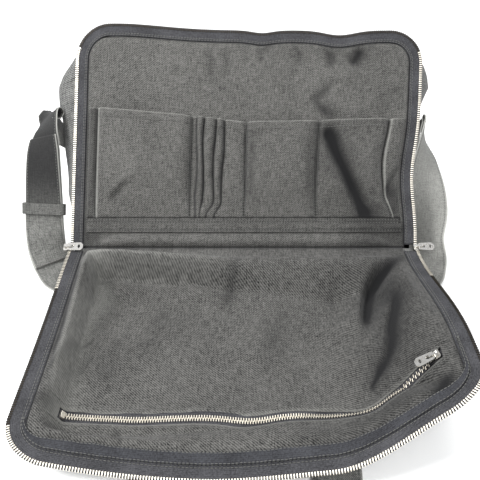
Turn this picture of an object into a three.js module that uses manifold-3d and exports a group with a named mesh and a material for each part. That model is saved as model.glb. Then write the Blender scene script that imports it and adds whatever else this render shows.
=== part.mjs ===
// Soft zip-round briefcase lying open: the front half flat on the floor, the back half leaning.
// Millimetres, +Z up, X along the hinge, the viewer on the -Y side. The origin is the middle of the
// flat face on which the front half rests.
import * as THREE from "three";
import Module from "manifold-3d";

const { smoothstep, degToRad, lerp, clamp } = THREE.MathUtils;
const wasm = await Module();
wasm.setup();

// Driving dimensions
const RIM = { width: 390, height: 248, corner: 34 };
const HINGE = { y: 112, z: 38 };
const LEAN_DEG = 51;
const GAP = 0.35;
const CLOTH = { shell: 2, lining: 1.3, panel: 1.5, pocket: 1.4, tape: 0.9, binding: 1.0 };
const FRONT = { margin: 14, slopeLeft: 34, slopeRight: 60, sag: 18, leftDrop: 11, leftSplay: 4, bow: 12 };
const FRONT_RIGHT = { lift: 36, from: 70, pull: 0.1 };
const LINING = { inset: 13.5, loose: 3.6, span: 0.17, spanWide: 14 };
const TAPE = { outer: -2, innerFront: 12.5, innerBack: 9.7, footFront: 6.9, footBack: 5.6 };
const TEETH = { outer: -5, inner: -2.35, thick: 2.6 };
const BINDING = { outer: 11, inner: 25, from: 6, to: 34, taper: 5 };
const POCKET_ZIP = { v: 194, half: 176, slot: 10.6, tape: 14, under: 2.2, cells: 32 };
const POCKET_CHAIN = { wide: 5.2, thick: 2.1, stopWide: 6.4, stopThick: 2.2 };
const ORGANISER = { inset: 10.5, face: 0.2, roll: 7, rollTo: 19, rollFade: 150, rollEnd: 178 };
const BAND = { from: 20, to: 36, half: 181, cells: 14 };
const PULL = { long: 17, wide: 9.6, thick: 1.2, bar: 1.3, window: 6, slot: 3.6, chamfer: 2.6, tilt: 14 };
const SLIDER = { long: 11, wide: 8.4, thick: 4.2, neck: 6.2, rise: 5, out: 4.5 };
const BRIDGE = { wide: 1.8, long: 9, bar: 0.8, rise: 2.6, leg: 1.1, sunk: 0.5 };
const STRAP = { wide: 44, thick: 2.2, cells: 60 };
const TAIL = { thick: 2, wide: 43, gap: 0.8, from: 8, to: 18 };
const KEEPER = { cell: 12, tall: 13, wall: 1.4, room: 1.4 };
const HANDLE = {
  wide: 43, thick: 2.6, gripWide: 26, gripThick: 6, lie: 0.2, rootLeft: -227.3, rootRight: -211.9, cells: 20,
};

// Cells along the rim: up one side, round a corner, along the far edge, and back; then along the hinge
const CELLS = { side: 7, corner: 4, far: 18, hinge: 10 };
const RIM_CELLS = 2 * CELLS.side + 2 * CELLS.corner + CELLS.far;
const LOOP_CELLS = RIM_CELLS + CELLS.hinge;

const vec = (x, y, z) => new THREE.Vector3(x, y, z);

// Value of a column at x, on straight lines between the rows of a table that is sorted by its key
function tableAt(rows, key, column, x) {
  const last = rows.length - 1;
  if (x <= rows[0][key]) return rows[0][column];
  if (x >= rows[last][key]) return rows[last][column];
  const i = rows.findIndex((row) => row[key] > x) - 1;
  const t = (x - rows[i][key]) / (rows[i + 1][key] - rows[i][key]);
  return lerp(rows[i][column], rows[i + 1][column], t);
}

// Height of a set of straight folds at a point: each is a soft ridge, or a valley where its rise is negative
function foldsAt(folds, u, v) {
  let sum = 0;
  for (const f of folds) {
    const du = f.u1 - f.u0;
    const dv = f.v1 - f.v0;
    const t = clamp(((u - f.u0) * du + (v - f.v0) * dv) / (du * du + dv * dv), 0, 1);
    const away = Math.hypot(u - f.u0 - t * du, v - f.v0 - t * dv);
    sum += f.rise * Math.exp(-((away / f.spread) ** 2));
  }
  return sum;
}

// Geometry from points and triangles, turned so that its faces look outwards
function closedBody(points, index) {
  let volume = 0;
  for (let i = 0; i < index.length; i += 3) {
    const [a, b, c] = [points[index[i]], points[index[i + 1]], points[index[i + 2]]];
    volume += a.dot(b.clone().cross(c));
  }
  const turned = volume < 0 ? index.toReversed() : index;
  const geometry = new THREE.BufferGeometry();
  geometry.setAttribute("position", new THREE.Float32BufferAttribute(points.flatMap((p) => p.toArray()), 3));
  geometry.setIndex(turned);
  return geometry;
}

// A wall over a grid of cells; face(i, j, side) gives the corners of its two faces, keep leaves cells out
function wall(columns, rows, face, keep = () => true) {
  const points = [];
  const index = [];
  const id = (i, j, side) => (i * (rows + 1) + j) * 2 + side;
  const kept = (i, j) => i >= 0 && j >= 0 && i < columns && j < rows && keep(i, j);
  const quad = (a, b, c, d) => index.push(a, b, c, a, c, d);
  for (let i = 0; i <= columns; i += 1) {
    for (let j = 0; j <= rows; j += 1) points.push(face(i, j, 0), face(i, j, 1));
  }
  for (let i = 0; i < columns; i += 1) {
    for (let j = 0; j < rows; j += 1) {
      if (!kept(i, j)) continue;
      quad(id(i, j, 0), id(i + 1, j, 0), id(i + 1, j + 1, 0), id(i, j + 1, 0));
      quad(id(i, j, 1), id(i, j + 1, 1), id(i + 1, j + 1, 1), id(i + 1, j, 1));
      if (!kept(i, j - 1)) quad(id(i, j, 1), id(i + 1, j, 1), id(i + 1, j, 0), id(i, j, 0));
      if (!kept(i + 1, j)) quad(id(i + 1, j, 1), id(i + 1, j + 1, 1), id(i + 1, j + 1, 0), id(i + 1, j, 0));
      if (!kept(i, j + 1)) quad(id(i + 1, j + 1, 1), id(i, j + 1, 1), id(i, j + 1, 0), id(i + 1, j + 1, 0));
      if (!kept(i - 1, j)) quad(id(i, j + 1, 1), id(i, j, 1), id(i, j, 0), id(i, j + 1, 0));
    }
  }
  return closedBody(points, index);
}

// A tray: rings of points from its mouth inwards, closed by a flat middle; point(ring, k, side)
function tray(rings, point) {
  const points = [];
  const index = [];
  const id = (ring, k, side) => (ring * LOOP_CELLS + (k % LOOP_CELLS)) * 2 + side;
  const quad = (a, b, c, d) => index.push(a, b, c, a, c, d);
  for (let ring = 0; ring < rings; ring += 1) {
    for (let k = 0; k < LOOP_CELLS; k += 1) points.push(point(ring, k, 0), point(ring, k, 1));
  }
  const middle = [0, 1].map((side) => {
    const sum = vec(0, 0, 0);
    for (let k = 0; k < LOOP_CELLS; k += 1) sum.add(points[id(rings - 1, k, side)]);
    points.push(sum.divideScalar(LOOP_CELLS));
    return points.length - 1;
  });
  for (let k = 0; k < LOOP_CELLS; k += 1) {
    for (let ring = 0; ring < rings - 1; ring += 1) {
      quad(id(ring, k, 0), id(ring, k + 1, 0), id(ring + 1, k + 1, 0), id(ring + 1, k, 0));
      quad(id(ring, k, 1), id(ring + 1, k, 1), id(ring + 1, k + 1, 1), id(ring, k + 1, 1));
    }
    quad(id(0, k, 0), id(0, k, 1), id(0, k + 1, 1), id(0, k + 1, 0));
    index.push(id(rings - 1, k, 0), id(rings - 1, k + 1, 0), middle[0]);
    index.push(id(rings - 1, k + 1, 1), id(rings - 1, k, 1), middle[1]);
  }
  return closedBody(points, index);
}

// A flat strip along a smooth path; each station gives its middle, the way across it, and its section
function stripFrames(stations, cells) {
  const path = new THREE.CatmullRomCurve3(stations.map((s) => s.at));
  const turn = new THREE.CatmullRomCurve3(stations.map((s) => s.across));
  return Array.from({ length: cells + 1 }, (_, i) => {
    const t = i / cells;
    const k = Math.min(Math.floor(t * (stations.length - 1)), stations.length - 2);
    const part = t * (stations.length - 1) - k;
    const along = path.getTangent(t);
    const across = turn.getPoint(t);
    across.addScaledVector(along, -across.dot(along)).normalize();
    return {
      at: path.getPoint(t),
      along,
      across,
      normal: across.clone().cross(along).normalize(),
      wide: lerp(stations[k].wide, stations[k + 1].wide, part),
      thick: lerp(stations[k].thick, stations[k + 1].thick, part),
    };
  });
}

function strip(frames) {
  return wall(frames.length - 1, 1, (i, j, side) => {
    const f = frames[i];
    const p = f.at.clone().addScaledVector(f.across, (j - 0.5) * f.wide);
    return p.addScaledVector(f.normal, (0.5 - side) * f.thick);
  });
}

// Place k on the rim outline moved inwards by inset; foot is where its two sides and its hinge side start
function rimAt(k, inset, foot) {
  const r = Math.max(RIM.corner - inset, 4);
  const half = RIM.width / 2 - inset;
  const far = RIM.height - inset;
  const [a, b] = [CELLS.side, CELLS.side + CELLS.corner];
  const [c, d] = [b + CELLS.far, b + CELLS.far + CELLS.corner];
  if (k <= a) return [-half, lerp(foot, far - r, k / a)];
  if (k < b) {
    const turn = ((k - a) / CELLS.corner) * (Math.PI / 2);
    return [-half + r - r * Math.cos(turn), far - r + r * Math.sin(turn)];
  }
  if (k <= c) return [lerp(-half + r, half - r, (k - b) / CELLS.far), far];
  if (k < d) {
    const turn = ((k - c) / CELLS.corner) * (Math.PI / 2);
    return [half - r + r * Math.sin(turn), far - r + r * Math.cos(turn)];
  }
  if (k <= RIM_CELLS) return [half, lerp(far - r, foot, (k - d) / CELLS.side)];
  return [lerp(half, -half, (k - RIM_CELLS) / CELLS.hinge), foot];
}

// How far a place lies inside the rim, the hinge side counted too
function insideRim(u, v) {
  const du = RIM.width / 2 - Math.abs(u);
  const dv = RIM.height - v;
  const r = RIM.corner;
  const edge = du < r && dv < r ? r - Math.hypot(r - du, r - dv) : Math.min(du, dv);
  return Math.min(edge, v);
}

// Front half: a shallow tray, slumped low along its far edge, with its right side pulled up and back
const slopeFoot = (u) => lerp(FRONT.slopeLeft, FRONT.slopeRight, smoothstep(u, -120, 120));
function rimHeight(u, v) {
  const far = smoothstep(v, 0.72 * RIM.height, RIM.height);
  const slump = FRONT.sag * Math.max(0, 1 - Math.abs(u / 185) ** 2.5) * far;
  return HINGE.z - slump - FRONT.leftDrop * (1 - smoothstep(u, -40, 80)) * smoothstep(v, 30, 190);
}
function trayHeight(u, v) {
  return rimHeight(u, v) * (1 - smoothstep(insideRim(u, v), FRONT.margin, slopeFoot(u)));
}

// Point that lies at a distance above the outer face of the front tray, measured square to it
function frontAt(u, v, above, extra = 0) {
  const step = 0.5;
  const slopeU = (trayHeight(u + step, v) - trayHeight(u - step, v)) / (2 * step);
  const slopeV = (trayHeight(u, v + step) - trayHeight(u, v - step)) / (2 * step);
  const height = trayHeight(u, v) + above * Math.hypot(1, slopeU, slopeV) + extra;
  const right = smoothstep(u, FRONT_RIGHT.from, RIM.width / 2);
  const far = smoothstep(v, 0.4 * RIM.height, RIM.height);
  const bow = FRONT.bow * Math.max(0, 1 - (u / (RIM.width / 2)) ** 2) * far;
  const lift = FRONT_RIGHT.lift * right * smoothstep(v, 0, 0.75 * RIM.height);
  const pull = FRONT_RIGHT.pull * right * smoothstep(v, 0, 0.3 * RIM.height);
  const splay = FRONT.leftSplay * smoothstep(-u, 120, RIM.width / 2) * smoothstep(v, 60, 200);
  return vec(u - splay, HINGE.y - v * (1 - pull) - bow, height + lift);
}

// Back half: u across, v up its slope, w out towards the viewer
const UP_SLOPE = vec(0, Math.cos(degToRad(LEAN_DEG)), Math.sin(degToRad(LEAN_DEG)));
const OUT = vec(0, -UP_SLOPE.z, UP_SLOPE.y);
const LEAN_RIGHT = 7.5;
const RIGHT_DRAWN_IN = { by: 6.8, at: 85, spread: 45 };
const bump = (x, at, spread) => Math.exp(-(((x - at) / spread) ** 2));
const TOP_WAVES = [
  { at: -155, rise: 8, spread: 75 },
  { at: 14, rise: -3, spread: 16 },
  { at: 103, rise: -5.5, spread: 24 },
];

function backAt(u, v, w) {
  const right = smoothstep(u, 40, RIM.width / 2);
  const drawn = RIGHT_DRAWN_IN.by * right * bump(v, RIGHT_DRAWN_IN.at, RIGHT_DRAWN_IN.spread);
  const wave = TOP_WAVES.reduce((sum, k) => sum + k.rise * bump(u, k.at, k.spread), 0);
  const up = v + wave * smoothstep(v, 0.62 * RIM.height, RIM.height);
  const p = vec(u + LEAN_RIGHT * clamp(v / RIM.height, 0, 1) - drawn, HINGE.y, HINGE.z);
  return p.addScaledVector(UP_SLOPE, up).addScaledVector(OUT, w);
}

// Front shell: outer cloth of the tray, its middle flat on the floor
const FRONT_RINGS = [
  { inset: 2, slope: 0, foot: 0.3 },
  { inset: FRONT.margin, slope: 0, foot: FRONT.margin },
  { inset: FRONT.margin, slope: 0.25, foot: FRONT.margin },
  { inset: FRONT.margin, slope: 0.5, foot: FRONT.margin },
  { inset: FRONT.margin, slope: 0.75, foot: FRONT.margin },
  { inset: FRONT.margin, slope: 1, foot: FRONT.margin },
  { inset: 125, slope: 0, foot: 100 },
];
const frontShell = tray(FRONT_RINGS.length, (ring, k, side) => {
  const row = FRONT_RINGS[ring];
  const down = row.slope * (slopeFoot(rimAt(k, row.inset, row.foot)[0]) - FRONT.margin);
  const [u, v] = rimAt(k, row.inset + down, row.foot + down);
  return frontAt(u, v, side * CLOTH.shell);
});

// Front lining: loose cloth inside the tray, slit along the pocket zip
const LINING_FOLDS = [
  { u0: 172, v0: 26, u1: 143, v1: 62, rise: -4, spread: 10 },
  { u0: 143, v0: 62, u1: 132, v1: 112, rise: -4, spread: 11 },
  { u0: 158, v0: 52, u1: 148, v1: 110, rise: 6, spread: 11 },
  { u0: 166, v0: 96, u1: 128, v1: 172, rise: -3, spread: 11 },
  { u0: -166, v0: 40, u1: -168, v1: 110, rise: 3, spread: 9 },
  { u0: -150, v0: 105, u1: -168, v1: 158, rise: 4, spread: 11 },
  { u0: -160, v0: 214, u1: -150, v1: 226, rise: 3, spread: 9 },
  { u0: -70, v0: 90, u1: -95, v1: 150, rise: 1.6, spread: 20 },
  { u0: 30, v0: 60, u1: 10, v1: 150, rise: 1.4, spread: 24 },
];
const SLOT_END = POCKET_ZIP.half / (RIM.width / 2 - LINING.inset);
const HALF_COLUMNS = [0, 0.14, 0.28, 0.42, 0.55, 0.66, 0.75, 0.81, 0.86, 0.915, SLOT_END, 0.985, 1];
const LINING_COLUMNS = [...HALF_COLUMNS.slice(1).toReversed().map((c) => -c), ...HALF_COLUMNS];
const SLOT = [POCKET_ZIP.v - POCKET_ZIP.slot / 2, POCKET_ZIP.v + POCKET_ZIP.slot / 2];
const ROWS_TO_SLOT = [1.6, 8, 15, 22, 30, 39, 50, 64, 80, 97, 114, 131, 148, 163, 177];
const ROWS_PAST_SLOT = [207, 214, 221, 228, 234.5];
const LINING_ROWS = [...ROWS_TO_SLOT, ...SLOT, ...ROWS_PAST_SLOT];
const SLOT_ROW = LINING_ROWS.indexOf(SLOT[0]);

function insetHalf(v, inset) {
  const r = RIM.corner - inset;
  const past = clamp(v - (RIM.height - RIM.corner), 0, r);
  return RIM.width / 2 - RIM.corner + Math.sqrt(r * r - past * past);
}

// Height of the underside of the lining above the outer face of the tray; it spans the foot of the walls
function liningLoose(u, v) {
  const inside = insideRim(u, v);
  const wide = LINING.span * rimHeight(u, v) * (1 - smoothstep(u, 20, 110));
  const span = wide * bump(inside, slopeFoot(u), LINING.spanWide);
  return CLOTH.shell + 0.8 + LINING.loose * smoothstep(inside, FRONT.margin, 27) + span;
}
function foldRise(u, v) {
  const nearSlot = 1 - Math.exp(-(((v - POCKET_ZIP.v) / 14) ** 2));
  const offEdge = smoothstep(insideRim(u, v), FRONT.margin, 26);
  return Math.max(foldsAt(LINING_FOLDS, u, v), -2) * offEdge * nearSlot;
}
const frontLining = wall(
  LINING_COLUMNS.length - 1,
  LINING_ROWS.length - 1,
  (i, j, side) => {
    const v = LINING_ROWS[j];
    const u = LINING_COLUMNS[i] * insetHalf(v, LINING.inset);
    return frontAt(u, v, liningLoose(u, v) + (1 - side) * CLOTH.lining, foldRise(u, v));
  },
  (i, j) => j !== SLOT_ROW || i < 2 || i >= LINING_COLUMNS.length - 3,
);

// Zip tape and row of teeth of each half, along the three open sides
function rimStrip(at, outer, inner, low, high, foot) {
  return wall(RIM_CELLS, 1, (k, j, side) => {
    const [u, v] = rimAt(k, j === 0 ? outer : inner, foot);
    return at(u, v, side === 0 ? high : low);
  });
}
const FRONT_TAPE_MID = CLOTH.shell + 0.6 + CLOTH.tape / 2;
const BACK_TAPE_MID = -0.75;
const halfTape = CLOTH.tape / 2;
const halfTeeth = TEETH.thick / 2;
function tapeOn(at, inner, mid, foot) {
  return rimStrip(at, TAPE.outer, inner, mid - halfTape, mid + halfTape, foot);
}
function teethOn(at, mid, foot) {
  return rimStrip(at, TEETH.outer, TEETH.inner, mid - halfTeeth, mid + halfTeeth, foot);
}
const frontTape = tapeOn(frontAt, TAPE.innerFront, FRONT_TAPE_MID, TAPE.footFront);
const frontTeeth = teethOn(frontAt, FRONT_TAPE_MID, TAPE.footFront);
const backTape = tapeOn(backAt, TAPE.innerBack, BACK_TAPE_MID, TAPE.footBack);
const backTeeth = teethOn(backAt, BACK_TAPE_MID, TAPE.footBack);

// Binding along the far edge of the front half, over the edges of the lining and the tape
const frontBinding = wall(BINDING.to - BINDING.from, 2, (i, j, side) => {
  const k = BINDING.from + i;
  const full = smoothstep(Math.min(k - BINDING.from, BINDING.to - k), -1, BINDING.taper);
  const inset = BINDING.outer + (j / 2) * full * (BINDING.inner - BINDING.outer);
  const [u, v] = rimAt(k, inset, TAPE.footFront);
  const low = liningLoose(u, v) + CLOTH.lining + 4 * GAP;
  return frontAt(u, v, low + (1 - side) * CLOTH.binding, foldRise(u, v));
});

// Pocket zip: tape under the slot, chain on the tape, stop at the left end, slider at the right end
const ZIP_END = POCKET_ZIP.half - 1;
function zipEdge(step, dv) {
  const u = lerp(-ZIP_END, ZIP_END, step / POCKET_ZIP.cells);
  const loose = liningLoose(u, POCKET_ZIP.v);
  const under = Math.min(POCKET_ZIP.under, loose - CLOTH.shell - CLOTH.tape - 3 * GAP);
  return frontAt(u, POCKET_ZIP.v + dv, loose - under);
}
// Frame on the straight runs of the tape, at any part of a step
function zipFrame(step) {
  const i = clamp(Math.floor(step), 0, POCKET_ZIP.cells - 1);
  const edge = (dv) => zipEdge(i, dv).lerp(zipEdge(i + 1, dv), step - i);
  const near = edge(-POCKET_ZIP.tape / 2);
  const far = edge(POCKET_ZIP.tape / 2);
  const along = zipEdge(i + 1, 0).sub(zipEdge(i, 0)).normalize();
  return { near, far, along, top: along.clone().cross(near.clone().sub(far)).normalize() };
}
function zipStrip(steps, wide, low, high) {
  return wall(steps.length - 1, 1, (i, j, side) => {
    const f = zipFrame(steps[i]);
    const p = f.near.clone().lerp(f.far, 0.5 + ((j - 0.5) * wide) / POCKET_ZIP.tape);
    const before = zipFrame(Math.max(steps[i] - 0.01, 0)).top;
    return p.addScaledVector(f.top.clone().add(before).normalize(), side === 0 ? high : low);
  });
}
// From one place to another, with every whole step between
function zipSteps(from, to) {
  const first = Math.floor(from) + 1;
  const between = Array.from({ length: Math.ceil(to) - first }, (_, i) => first + i);
  return [from, ...between, to];
}
const CHAIN = { from: 0.75, to: POCKET_ZIP.cells - 1.3, stopFrom: 0.22, stopTo: 0.7 };
const pocketTape = zipStrip(zipSteps(0, POCKET_ZIP.cells), POCKET_ZIP.tape, -CLOTH.tape, 0);
const chainSteps = zipSteps(CHAIN.from, CHAIN.to);
const pocketChain = zipStrip(chainSteps, POCKET_CHAIN.wide, GAP, GAP + POCKET_CHAIN.thick);
const stopSteps = [CHAIN.stopFrom, CHAIN.stopTo];
const pocketStop = zipStrip(stopSteps, POCKET_CHAIN.stopWide, 2 * GAP, 2 * GAP + POCKET_CHAIN.stopThick);

// Slider: a body with a narrower tail, and a bridge over its top for the pull tab
// Local axes: +X is the way it closes, +Z its top; the bridge pin sits at PIN above the middle
const PIN = SLIDER.thick / 2 + BRIDGE.rise / 2;
function extruded(shape, depth) {
  const geometry = new THREE.ExtrudeGeometry(shape, { depth, bevelEnabled: false, curveSegments: 6 });
  return geometry.translate(0, 0, -depth / 2);
}

function solid(geometry) {
  const flat = geometry.index ? geometry.toNonIndexed() : geometry;
  const at = flat.getAttribute("position");
  const mesh = new wasm.Mesh({
    numProp: 3,
    vertProperties: new Float32Array(at.array),
    triVerts: Uint32Array.from({ length: at.count }, (_, i) => i),
  });
  mesh.merge();
  return new wasm.Manifold(mesh);
}

function sliderGeometry() {
  const [l, w, n] = [SLIDER.long / 2, SLIDER.wide / 2, SLIDER.neck / 2];
  const plan = new THREE.Shape();
  plan.moveTo(-l, -n);
  plan.lineTo(-0.5, -n);
  plan.quadraticCurveTo(1.5, -w, 3, -w);
  plan.lineTo(l - 1, -w);
  plan.lineTo(l, -w + 1);
  plan.lineTo(l, w - 1);
  plan.lineTo(l - 1, w);
  plan.lineTo(3, w);
  plan.quadraticCurveTo(1.5, w, -0.5, n);
  plan.lineTo(-l, n);
  plan.closePath();
  const body = solid(extruded(plan, SLIDER.thick));
  const base = SLIDER.thick / 2;
  const foot = base - BRIDGE.sunk;
  const under = base + BRIDGE.rise;
  const reach = BRIDGE.long / 2;
  const inner = reach - BRIDGE.leg;
  const arch = new THREE.Shape();
  arch.moveTo(-reach, foot);
  arch.lineTo(-reach, under);
  arch.lineTo(-reach + 1, under + BRIDGE.bar);
  arch.lineTo(reach - 1, under + BRIDGE.bar);
  arch.lineTo(reach, under);
  arch.lineTo(reach, foot);
  arch.lineTo(inner, foot);
  arch.lineTo(inner, under);
  arch.lineTo(-inner, under);
  arch.lineTo(-inner, foot);
  arch.closePath();
  const bridge = solid(extruded(arch, BRIDGE.wide).rotateX(Math.PI / 2));
  const joined = body.add(bridge).getMesh();
  const geometry = new THREE.BufferGeometry();
  geometry.setAttribute("position", new THREE.Float32BufferAttribute(joined.vertProperties, 3));
  geometry.setIndex(Array.from(joined.triVerts));
  return geometry;
}

// Pull tab: a plate with chamfered tip, a window for the bridge and an oval hole near the tip
function pullGeometry(tilt) {
  const w = PULL.wide / 2;
  const root = PULL.bar / 2;
  const tip = -PULL.long;
  const plate = new THREE.Shape();
  plate.moveTo(root, -w + 1.2);
  plate.lineTo(root, w - 1.2);
  plate.lineTo(-2, w - 0.6);
  plate.lineTo(tip + 6, w);
  plate.lineTo(tip + PULL.chamfer, w);
  plate.lineTo(tip, w - PULL.chamfer);
  plate.lineTo(tip, -w + PULL.chamfer);
  plate.lineTo(tip + PULL.chamfer, -w);
  plate.lineTo(tip + 6, -w);
  plate.lineTo(-2, -w + 0.6);
  plate.closePath();
  const slot = PULL.slot / 2;
  const window = new THREE.Path();
  window.moveTo(-root, -slot);
  window.lineTo(-root, slot);
  window.lineTo(-root - PULL.window + 1.5, slot);
  window.lineTo(-root - PULL.window, 0.8);
  window.lineTo(-root - PULL.window, -0.8);
  window.lineTo(-root - PULL.window + 1.5, -slot);
  window.closePath();
  const hole = new THREE.Path();
  hole.absellipse(tip + 4.6, 0, 1.2, 2.2, 0, 2 * Math.PI);
  plate.holes.push(window, hole);
  return extruded(plate, PULL.thick).rotateY(degToRad(tilt)).translate(0, 0, PIN);
}

const BISECTOR = OUT.clone().add(vec(0, 0, 1)).normalize();
function hingeSliderFrame(side) {
  const along = vec(-1, 0, 0);
  const at = vec(side * (RIM.width / 2 + SLIDER.out), HINGE.y, HINGE.z);
  at.addScaledVector(BISECTOR, SLIDER.rise);
  const frame = new THREE.Matrix4().makeBasis(along, BISECTOR.clone().cross(along), BISECTOR);
  return frame.setPosition(at);
}

function pocketSliderFrame() {
  const step = (2 * ZIP_END) / POCKET_ZIP.cells;
  const f = zipFrame(CHAIN.to + (SLIDER.long / 2 + 0.5) / step);
  const at = f.near.clone().lerp(f.far, 0.5).addScaledVector(f.top, SLIDER.thick / 2 + 2 * GAP);
  return new THREE.Matrix4().makeBasis(f.along, f.top.clone().cross(f.along), f.top).setPosition(at);
}

// Back shell: side walls and back panel; the left side wall bulges out, its foot rests on the floor
const BACK_RINGS = [
  { out: -2, depth: 1.6, bulge: 0, sag: 2 },
  { out: 1, depth: 9, bulge: 0.5, sag: 4 },
  { out: 4, depth: 22, bulge: 1, sag: 7 },
  { out: 5, depth: 38, bulge: 0.9, sag: 11 },
  { out: -1, depth: 50, bulge: 0.5, sag: 11 },
  { out: -14, depth: 58, bulge: 0.1, sag: 4 },
  { out: -34, depth: 61, bulge: 0, sag: 0 },
  { out: -90, depth: 62, bulge: 0, sag: 0 },
];
const SIDE_BULGE = [
  { v: 20, left: 0, right: 0 },
  { v: 42, left: 4, right: 0 },
  { v: 68, left: 12, right: 0 },
  { v: 126, left: 17, right: 0 },
  { v: 150, left: 20, right: 1 },
  { v: 172, left: 24, right: 8 },
  { v: 192, left: 26, right: 16 },
  { v: 206, left: 22, right: 13 },
  { v: 224, left: 8, right: 5 },
  { v: 248, left: 0, right: 0 },
];
const BACK_WALLS = BACK_RINGS.map((row, i) => {
  const before = BACK_RINGS[Math.max(i - 1, 0)];
  const after = BACK_RINGS[Math.min(i + 1, BACK_RINGS.length - 1)];
  const along = new THREE.Vector2(after.out - before.out, after.depth - before.depth).normalize();
  return { ...row, inOut: row.out - along.y * CLOTH.shell, inDepth: row.depth + along.x * CLOTH.shell };
});
const backShell = tray(BACK_WALLS.length, (ring, k, side) => {
  const row = BACK_WALLS[ring];
  const out = side === 0 ? row.out : row.inOut;
  const depth = side === 0 ? row.depth : row.inDepth;
  const [u, v] = rimAt(k, -out, -out - row.sag);
  const near = smoothstep(Math.abs(u), 140, RIM.width / 2);
  const bulge = row.bulge * near * tableAt(SIDE_BULGE, "v", u < 0 ? "left" : "right", v);
  const p = backAt(u + Math.sign(u) * bulge, v, -depth);
  p.z = Math.max(p.z, side * CLOTH.shell);
  return p;
});

// Organiser panel: inner panel of the back half, with a soft roll above the hinge and a few dents
const PANEL_FOLDS = [
  { u0: 122, v0: 205, u1: 106, v1: 184, rise: -2.4, spread: 7 },
  { u0: 106, v0: 184, u1: 92, v1: 172, rise: -2.4, spread: 7 },
  { u0: 124, v0: 224, u1: 126, v1: 212, rise: -3, spread: 8 },
  { u0: 86, v0: 224, u1: 90, v1: 212, rise: -3, spread: 8 },
  { u0: -30, v0: 228, u1: -26, v1: 208, rise: -1.6, spread: 7 },
  { u0: -8, v0: 228, u1: -6, v1: 212, rise: -1.6, spread: 7 },
];
const PANEL_ROWS = [1.5, 5, 9.5, 14, 19, 38, 57, 76, 95, 116, 150, 166, 178, 190, 202, 214, 221, 228, 237.5];
const PANEL_COLUMNS = 16;
function panelFace(u, v) {
  const ends = 1 - smoothstep(Math.abs(u), ORGANISER.rollFade, ORGANISER.rollEnd);
  const roll = v < ORGANISER.rollTo ? ORGANISER.roll * ends * Math.sin((Math.PI * v) / ORGANISER.rollTo) : 0;
  return ORGANISER.face + roll + foldsAt(PANEL_FOLDS, u, v);
}
const organiserPanel = wall(PANEL_COLUMNS, PANEL_ROWS.length - 1, (i, j, side) => {
  const v = PANEL_ROWS[j];
  const u = (2 * i / PANEL_COLUMNS - 1) * insetHalf(v, ORGANISER.inset);
  return backAt(u, v, panelFace(u, v) - side * CLOTH.panel);
});

// Pockets: sheets that stand off the panel, closed at their sides and foot, open along the hem
const HEM = [
  { u: -175, v: 162 },
  { u: -63, v: 152.5 },
  { u: -2, v: 145.5 },
  { u: 82, v: 146.7 },
  { u: 163, v: 149 },
  { u: 182, v: 150 },
];
const POCKET_FOOT = BAND.to + GAP;
const SEATED = ORGANISER.face + GAP;
const flatTop = (s) => 1 - (2 * s - 1) ** 4;
const evenSteps = (count) => Array.from({ length: count + 1 }, (_, i) => i / count);
function pocketSheet(from, to, steps, rows, bulge, across, folds = []) {
  return wall(steps.length - 1, rows, (i, j, side) => {
    const s = steps[i];
    const t = j / rows;
    const u = lerp(from, to, s);
    const v = lerp(POCKET_FOOT, tableAt(HEM, "u", "v", u), t);
    const full = bulge * across(s) * smoothstep(t, -0.02, 0.85);
    const w = Math.max(full + foldsAt(folds, u, v) * flatTop(s), 0);
    return backAt(u, v, SEATED + w + (1 - side) * CLOTH.pocket);
  });
}
const PEN_TUCKS = [
  { from: 0.11, to: 0.25, rise: 1, cells: 4 },
  { from: 0.25, to: 0.445, rise: 1, cells: 4 },
  { from: 0.445, to: 0.615, rise: 1, cells: 4 },
  { from: 0.615, to: 1, rise: 0.7, cells: 2 },
];
const PEN_STEPS = [0, ...PEN_TUCKS.flatMap((row) => evenSteps(row.cells).slice(0, -1)
  .map((t) => lerp(row.from, row.to, t))), 1];
const tuckRise = (s) => {
  const tuck = PEN_TUCKS.find((row) => s > row.from && s < row.to);
  return tuck ? tuck.rise * Math.sin((Math.PI * (s - tuck.from)) / (tuck.to - tuck.from)) : 0;
};
const RIGHT_POCKET_FOLDS = [
  { u0: 88, v0: 140, u1: 112, v1: 100, rise: -6, spread: 9 },
  { u0: 112, v0: 100, u1: 144, v1: 42, rise: -7, spread: 10 },
  { u0: 130, v0: 120, u1: 150, v1: 80, rise: 2.5, spread: 12 },
];
const pockets = {
  pocket_left_pleat: pocketSheet(-181, -172.4, evenSteps(4), 5, 4.5, flatTop),
  pocket_left: pocketSheet(-172, -63.4, evenSteps(8), 6, 8.5, flatTop),
  pocket_pens: pocketSheet(-63, -1.4, PEN_STEPS, 5, 8, tuckRise),
  pocket_middle: pocketSheet(-1, 81.6, evenSteps(8), 6, 8.5, flatTop),
  pocket_right: pocketSheet(82, 163, evenSteps(10), 9, 11, flatTop, RIGHT_POCKET_FOLDS),
  pocket_right_pleat: pocketSheet(163.4, 181, evenSteps(5), 6, 6, flatTop, [
    { u0: 164, v0: 62, u1: 180, v1: 88, rise: -5, spread: 8 },
  ]),
};
const pocketBand = wall(BAND.cells, 1, (i, j, side) => {
  const u = lerp(-BAND.half, BAND.half, i / BAND.cells);
  return backAt(u, j === 0 ? BAND.from : BAND.to, SEATED + (1 - side) * CLOTH.pocket);
});

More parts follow.
